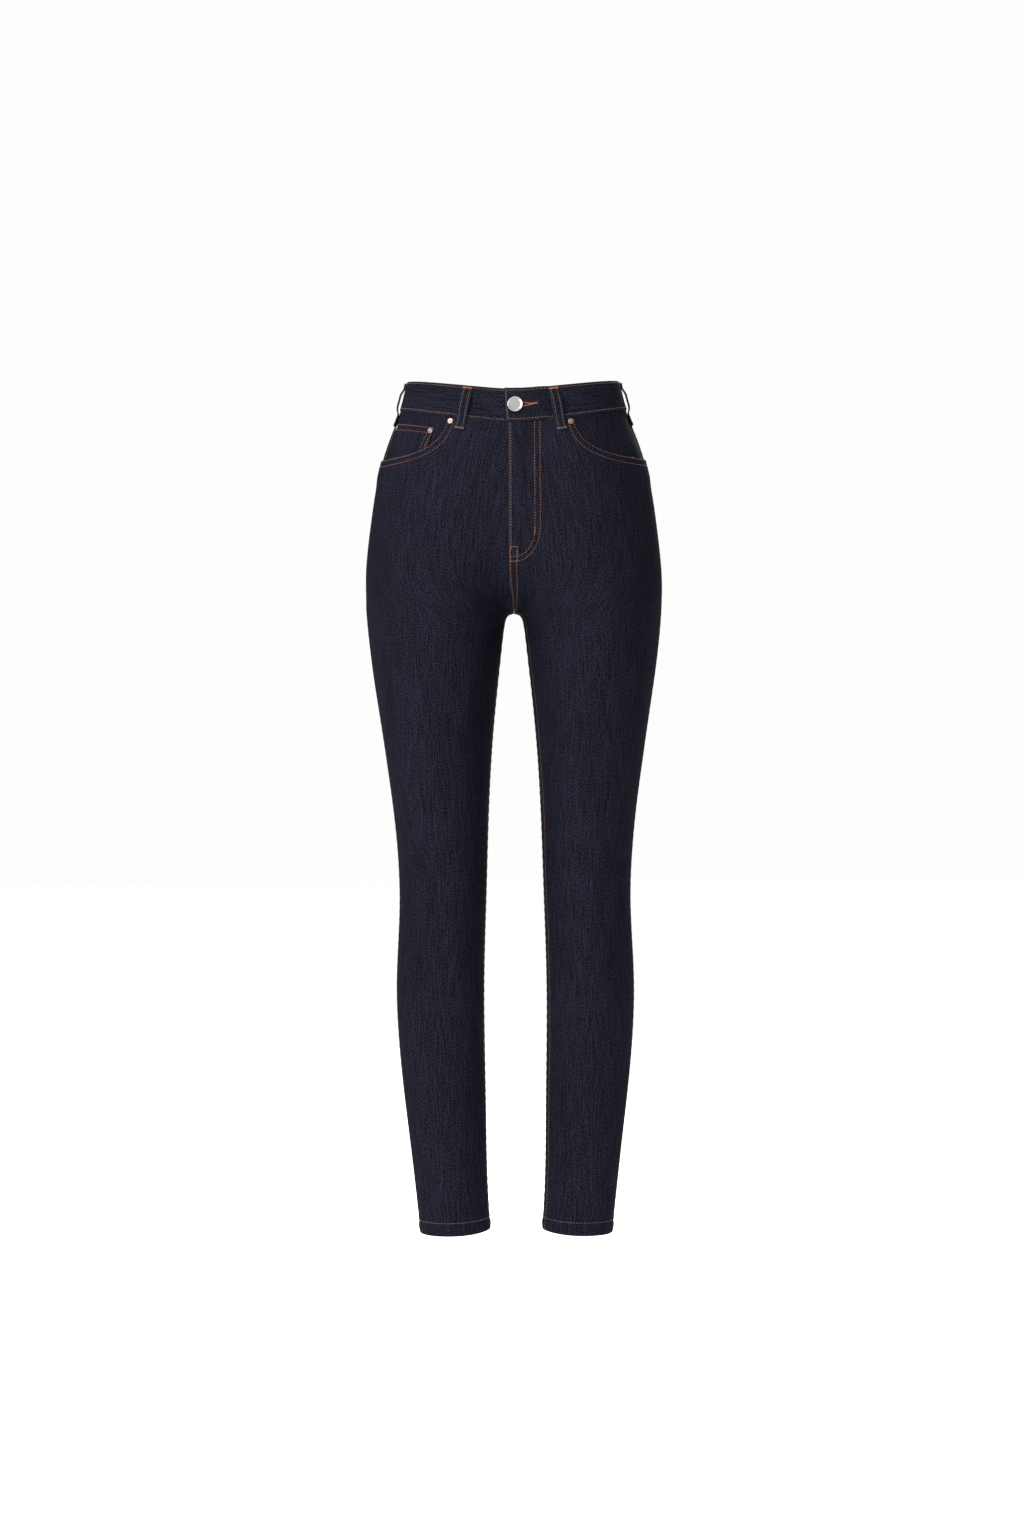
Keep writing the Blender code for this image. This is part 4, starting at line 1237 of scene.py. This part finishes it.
class JEANS_OT_topstitching(Operator):
    """Rows of topstitching on the waistband, pockets, yoke, seat, fly, inseams and hems"""

    bl_idname = "jeans.topstitching"
    bl_label = "Topstitching"

    def waistband(self):
        for r in BAND_ROWS:
            first = (band_end(r) + DOUBLE_ROWS[0]) / BAND_RUN
            s = np.linspace(first, 4 - BAND_ROW_END / BAND_RUN, 900)
            yield band_row(s, np.full(900, r))
        r = np.linspace(*BAND_ROWS, 30)
        yield band_row((band_end(r) + DOUBLE_ROWS[0]) / BAND_RUN, r)

    def front_pocket(self):
        for mirror, start in SCOOP_STARTS.items():
            u = start + (1 - start) * np.linspace(0, 1, 120) ** 2
            for distance in DOUBLE_ROWS:
                across, rows = offset_row("front", u, top_row(u, start), distance)
                keep = (rows > 1.03) & (across < 0.995)
                yield on_panel("front", mirror, across[keep], rows[keep])

    def coin_pocket(self):
        run, first, last = coin_edges()
        for r in COIN_HEM_ROWS:
            yield over("front", True, np.linspace(first + 0.006, last - 0.006, 30), r, COIN_OUT)
        ends = [(first + inset / run, first + (inset + COIN_TAPER) / run) for inset in COIN_SIDE_ROWS]
        outer = last - COIN_SIDE_ROWS[0] / run
        for top, low in (*ends, (outer, outer)):
            r = np.linspace(COIN_HEM_ROWS[0], float(top_row(low, SCOOP_STARTS[True])), 30)
            yield over("front", True, np.linspace(top, low, 30), r, COIN_OUT)

    def back_pocket(self):
        for mirror in HANDS:
            for inset in PATCH_ROWS:
                side = 1 - inset / (PATCH_TOP_WIDTH / 2)
                low = 1 - inset / PATCH_POINT_HEIGHT * 1.05
                fall = np.linspace(0.02, low, 30)
                across = np.concatenate([np.full(30, side), np.linspace(side, -side, 60), np.full(30, -side)])
                yield on_patch(mirror, across, np.concatenate([fall, np.full(60, low), fall[::-1]]))
            for drop in PATCH_HEM_ROWS:
                across = np.linspace(-0.965, 0.965, 50)
                yield on_patch(mirror, across, np.full(50, drop / PATCH_POINT_HEIGHT))

    def seat(self):
        u = np.linspace(0.01, 0.99, 80)
        for mirror in HANDS:
            for above in DOUBLE_ROWS:
                yield on_panel("back", mirror, u, yoke_row(u) - above / YOKE_ROW_HEIGHT)
        r = np.linspace(1.02, 7.95, 200)
        for inset in SEAT_ROWS:
            yield on_panel("back", False, inset / length("back", r), r)

    def inseam(self):
        r = row_at(np.linspace(down(8.12), down(HEM) - 1.5 * MM, 400))
        across = np.linspace(0, 0.4, 120)
        for mirror, inset in INSEAM_STITCHES.items():
            u = np.empty(len(r))
            for k, row in enumerate(r):
                x = base("front", across, row)[0][:, 0]
                nearest = int(np.argmin(x))
                u[k] = np.interp(x[nearest] + inset, x[nearest:], across[nearest:])
            yield on_panel("front", mirror, u, r)

    def hem(self):
        r = float(row_at(down(HEM) - HEM_STITCH_HEIGHT))
        for mirror in HANDS:
            for side in SIDES:
                yield on_panel(side, mirror, np.linspace(0.004, 0.996, 120), r)

    def fly(self):
        for row in FLY_ROWS:
            yield on_fly(*fly_row(*row))
        r = np.linspace(1.04, 4.72, 120)
        yield on_panel("front", False, -2.9 * MM / length("front", r), r)
        r = np.linspace(4.72, 7.55, 120)
        for top, low in ((-3.9, -1.4), (3.0, 4.6)):
            x = (top + (low - top) * smooth((r - 5) / 2)) * MM
            yield on_panel("front", False, x / length("front", r), r)

    def fly_bars(self):
        """The bar on the curve's start, and the one at the foot of the fly."""
        width, straight, fall = FLY_ROWS[0][:3]
        x, z = fly_row(width, straight, fall, -straight, 0)
        yield on_fly(x[26:36], z[26:36], 0.3 * MM)
        x = np.linspace(-1.2, 5.8, 12) * MM
        yield on_panel("front", False, x / length("front", 7.6), 7.6)

    def fly_box(self):
        for x0, x1, z0, z1 in FLY_BOX:
            yield on_fly(np.linspace(x0, x1, 16) * MM, np.linspace(z0, z1, 16) * MM, 0.2 * MM)

    def execute(self, context):
        for rows in (
            self.waistband, self.front_pocket, self.coin_pocket, self.back_pocket,
            self.seat, self.inseam, self.hem, self.fly,
        ):
            sewn(rows.__name__ + "_stitches", rows(), "tan")
        sewn("fly_bars", self.fly_bars(), "orange", pitch=1.6 * MM, size=(1.9 * MM, 0.8 * MM, 0.8 * MM))
        sewn("fly_box", self.fly_box(), "tan", pitch=2.0 * MM, size=(1.9 * MM, 0.8 * MM, 0.7 * MM))
        return {"FINISHED"}


class JEANS_OT_buttonhole(Operator):
    """The keyhole buttonhole's thread, where it shows beside the button"""

    bl_idname = "jeans.buttonhole"
    bl_label = "Buttonhole"

    def execute(self, context):
        x = np.linspace(8.5, 21.5, 40) * MM
        apart = 2.0 * MM * np.clip((20.5 * MM - x) / (12 * MM), 0.1, 1) ** 0.8
        # The two edges of the slit, which meet in the end bar
        edges = [band_row(x / BAND_RUN, 0.5 + way * apart / BAND_HEIGHT) for way in (-1, 1)]
        sewn("buttonhole_edges", edges, "orange", True, BAR_PITCH, (1.3 * MM, 0.62 * MM, 0.8 * MM))
        x = np.linspace(19.5, 26, 20) * MM
        bar = [band_row(x / BAND_RUN, np.full(20, 0.49))]
        sewn("buttonhole_bar", bar, "orange", True, BAR_PITCH, (1.7 * MM, 0.62 * MM, 0.9 * MM))
        return {"FINISHED"}


def nickel():
    """Zinc alloy, nickel plated and satin brushed: a grey-white metal with a wide soft highlight."""
    name = "satin nickel-plated zinc"
    if name in bpy.data.materials:
        return bpy.data.materials[name]
    made, tree, shader = material(name, bpy.context.scene.jeans_metal.nickel, 0.34, {"Metallic": 1.0})
    place = add(tree, "TexCoord", output="Object")
    # Brush marks 0.2 mm wide and 5 mm long
    marks = add(tree, "Mapping", {"Vector": place, "Scale": (200, 200, 5000)})
    mark = add(tree, "TexNoise", {"Vector": marks, "Scale": 1.0, "Detail": 2.0})
    rough = add(
        tree, "MapRange", {"Value": mark, "From Min": 0.3, "From Max": 0.7, "To Min": 0.28, "To Max": 0.44}
    )
    bump = add(tree, "Bump", {"Strength": 0.12, "Distance": 0.05 * MM, "Height": mark})
    plug(shader, {"Roughness": rough, "Normal": bump})
    return made


def copper():
    """Brass, copper plated and tumbled: a dull rosy metal with darker spots of tarnish."""
    name = "antique copper-plated brass"
    if name in bpy.data.materials:
        return bpy.data.materials[name]
    rosy = bpy.context.scene.jeans_metal.copper
    made, tree, shader = material(name, rosy, 0.38, {"Metallic": 1.0})
    place = add(tree, "TexCoord", output="Object")
    # Tarnish in spots of about 1 mm
    spot = add(tree, "TexNoise", {"Vector": place, "Scale": 900.0, "Detail": 3.0})
    colour = add(
        tree, "Mix", {"Factor": spot, 6: (*rosy, 1), 7: (*linear("8C6D5F"), 1)}, 2, data_type="RGBA"
    )
    plug(shader, {"Base Color": colour})
    return made


def select_top(obj):
    """Selects, in edit mode, the highest faces that look up."""
    bpy.ops.object.mode_set(mode="EDIT")
    bpy.ops.mesh.select_mode(type="FACE")
    bm = bmesh.from_edit_mesh(obj.data)
    level = max(face.calc_center_median().z for face in bm.faces if face.normal.z > 0.9)
    for face in bm.faces:
        face.select_set(face.normal.z > 0.9 and face.calc_center_median().z > level - 1e-5)
    bmesh.update_edit_mesh(obj.data)


def inset_top(steps):
    """Insets the selected faces and moves them up or down, step by step, in millimetres."""
    for inset, lift in steps:
        bpy.ops.mesh.inset(thickness=inset * MM, use_boundary=True)
        bpy.ops.transform.translate(value=(0, 0, lift * MM))


def finish_form(obj, angle, paint):
    """Ends edit mode, and gives a metal piece its shading and its material."""
    bpy.ops.object.mode_set(mode="OBJECT")
    bpy.ops.object.shade_smooth_by_angle(angle=math.radians(angle))
    obj.data.materials.append(paint)


def set_on(obj, node, slot, point, normal):
    """Stands a piece that was modelled upright at the origin on the cloth, in the place of its solid."""
    turn = Vector(normal).to_track_quat("Z", "Y").to_matrix().to_4x4()
    turn.translation = Vector(point)
    obj.data.transform(turn)
    obj.data.update()
    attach(obj, "root")
    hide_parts(node)


class JEANS_OT_button(Operator):
    """The shank button: a dished satin disc with a rolled rim on a short post"""

    bl_idname = "jeans.button"
    bl_label = "Button"

    def execute(self, context):
        obj = new_form(
            "button", bpy.ops.mesh.primitive_cylinder_add, vertices=context.scene.jeans_metal.segments,
            radius=BUTTON_POST, depth=1.1 * MM, location=(0, 0, 0.55 * MM),
        )
        select_top(obj)
        wide = (BUTTON_RADIUS - 0.7 * MM) / BUTTON_POST
        bpy.ops.mesh.extrude_region_move(TRANSFORM_OT_translate={"value": (0, 0, 0.02 * MM)})
        bpy.ops.transform.resize(value=(wide, wide, 1), center_override=(0, 0, 0))
        for lift, width in ((0.25, 0.45), (0.45, 0.25), (0.55, 0), (0.4, -0.15), (0.2, -0.35)):
            bpy.ops.mesh.extrude_region_move(TRANSFORM_OT_translate={"value": (0, 0, lift * MM)})
            bm = bmesh.from_edit_mesh(obj.data)
            radius = max(vertex.co.xy.length for vertex in bm.verts if vertex.select)
            grow = (radius + width * MM) / radius
            bpy.ops.transform.resize(value=(grow, grow, 1), center_override=(0, 0, 0))
        inset_top(((0.35, -0.05), (0.3, -0.22), (0.25, -0.12), (2.2, 0.06), (2.2, 0.05)))
        finish_form(obj, 40, nickel())
        level = BAND_OUT + OVERLAP_RISE + BAND_CROWN + 0.1 * MM
        set_on(obj, "button", "button_metal", *raised(ring(BUTTON_OFFSET / BAND_RUN, 0.5), level))
        return {"FINISHED"}


class JEANS_OT_rivets(Operator):
    """The four rivets of the front pockets"""

    bl_idname = "jeans.rivets"
    bl_label = "Rivets"

    def execute(self, context):
        form = new_form(
            "rivet_form", bpy.ops.mesh.primitive_cylinder_add,
            vertices=context.scene.jeans_metal.segments // 2, radius=RIVET_RADIUS, depth=0.35 * MM,
            location=(0, 0, 0.175 * MM),
        )
        select_top(form)
        inset_top((
            (0.2, 0.22), (0.3, 0.13), (0.45, 0.03), (0.3, -0.12),
            (0.35, 0.02), (0.2, 0.35), (0.35, 0.25), (0.3, 0.05),
        ))
        finish_form(form, 50, copper())
        run, first, last = coin_edges()
        aside = RIVET_ASIDE / float(length("front", 1))
        low, high = COIN_TOP_ROW + 0.12, 1.16
        for name, mirror, u, r, level in (
            ("rivet_left", False, SCOOP_STARTS[False] - aside, high, POCKET_RISE),
            ("rivet_right", True, SCOOP_STARTS[True] - aside, high, POCKET_RISE),
            ("rivet_coin_inner", True, first + RIVET_ASIDE / run, low, COIN_OUT),
            ("rivet_coin_outer", True, last - RIVET_ASIDE / run, low, COIN_OUT),
        ):
            obj = form.copy()
            obj.data = form.data.copy()
            obj.name = name + "_metal"
            context.scene.collection.objects.link(obj)
            set_on(obj, name, "rivet_metal", *over("front", mirror, u, r, level + 0.12 * MM))
        bpy.data.objects.remove(form, do_unlink=True)
        return {"FINISHED"}


class JEANS_OT_stage(Operator):
    """Pale floor, soft studio light and the camera"""

    bl_idname = "jeans.stage"
    bl_label = "Stage"

    def floor(self, stage):
        obj = new_form(
            "floor", bpy.ops.mesh.primitive_plane_add, size=30, location=(0, 0, stage.floor_level)
        )
        paper, tree, shader = material(
            "matt white studio floor", stage.paper, 0.95, {"Emission Color": (1, 1, 1, 1)}
        )
        # It runs out to white before the camera, and throws no light of its own on the cloth
        ray = add(tree, "LightPath", output="Is Camera Ray")
        glow = add(tree, "Math", {0: ray, 1: FLOOR_GLOW}, operation="MULTIPLY")
        # Grain about 5 mm wide
        place = add(tree, "TexCoord", output="Object")
        grain = add(tree, "TexNoise", {"Vector": place, "Scale": 180.0, "Detail": 2.0})
        bump = add(tree, "Bump", {"Strength": 0.03, "Distance": 0.2 * MM, "Height": grain})
        plug(shader, {"Emission Strength": glow, "Normal": bump})
        obj.data.materials.append(paper)

    def surround(self, stage):
        """The room: white to the camera, and a dimmer grey as a light."""
        world = bpy.data.worlds.new("studio")
        bpy.context.scene.world = world
        world.use_nodes = True
        tree = world.node_tree
        dim = tree.nodes["Background"]
        plug(dim, {"Color": (1, 1, 1, 1), "Strength": ROOM_LIGHT})
        seen = add(tree, "Background", {"Color": (*stage.paper, 1), "Strength": 1.0})
        ray = add(tree, "LightPath", output="Is Camera Ray")
        both = add(tree, "MixShader", {0: ray, 1: dim.outputs[0], 2: seen})
        plug(tree.nodes["World Output"], {"Surface": both})

    def lights(self):
        for name, place, aim, size, power in LAMPS:
            bpy.ops.object.light_add(type="AREA", location=place)
            lamp = bpy.context.active_object
            lamp.name = name
            lamp.data.size = size
            lamp.data.energy = power
            lamp.visible_camera = False
            lamp.rotation_euler = (Vector(aim) - Vector(place)).to_track_quat("-Z", "Y").to_euler()

    def camera(self, stage):
        """Level with the thighs, and turned by the photograph's small lean."""
        bpy.ops.object.camera_add(
            location=(CAMERA_ASIDE, -stage.camera_distance, stage.camera_height),
            rotation=(math.pi / 2, CAMERA_LEAN, 0),
        )
        camera = bpy.context.active_object
        camera.data.sensor_width = SENSOR
        camera.data.lens = SENSOR * stage.camera_distance / (PHOTO_HEIGHT * PIXEL)
        camera.data.dof.use_dof = False
        bpy.context.scene.camera = camera

    def execute(self, context):
        stage = context.scene.jeans_stage
        self.floor(stage)
        self.surround(stage)
        self.lights()
        self.camera(stage)
        context.scene.view_settings.view_transform = "Standard"
        return {"FINISHED"}


class JEANS_PT_panel(Panel):
    bl_label = "Skinny jeans"
    bl_idname = "JEANS_PT_panel"
    bl_space_type = "VIEW_3D"
    bl_region_type = "UI"
    bl_category = "Jeans"

    def draw(self, context):
        for group in ("jeans_cloth", "jeans_thread", "jeans_metal", "jeans_stage"):
            settings = getattr(context.scene, group)
            box = self.layout.box()
            for name in settings.bl_rna.properties.keys():
                if name not in ("rna_type", "name"):
                    box.prop(settings, name)
        for operator in OPERATORS:
            self.layout.operator(operator.bl_idname)


GROUPS = {
    "jeans_cloth": JeansCloth,
    "jeans_thread": JeansThread,
    "jeans_metal": JeansMetal,
    "jeans_stage": JeansStage,
}
OPERATORS = (
    JEANS_OT_legs,
    JEANS_OT_yokes,
    JEANS_OT_front_pockets,
    JEANS_OT_back_pockets,
    JEANS_OT_waistband,
    JEANS_OT_belt_loops,
    JEANS_OT_topstitching,
    JEANS_OT_buttonhole,
    JEANS_OT_button,
    JEANS_OT_rivets,
    JEANS_OT_stage,
)


def register():
    for made in (*GROUPS.values(), *OPERATORS, JEANS_PT_panel):
        bpy.utils.register_class(made)
    for name, group in GROUPS.items():
        setattr(bpy.types.Scene, name, PointerProperty(type=group))


def unregister():
    for name in GROUPS:
        delattr(bpy.types.Scene, name)
    for made in reversed((*GROUPS.values(), *OPERATORS, JEANS_PT_panel)):
        bpy.utils.unregister_class(made)


def main():
    register()
    for operator in OPERATORS:
        group, name = operator.bl_idname.split(".")
        getattr(getattr(bpy.ops, group), name)()


if __name__ == "__main__":
    main()
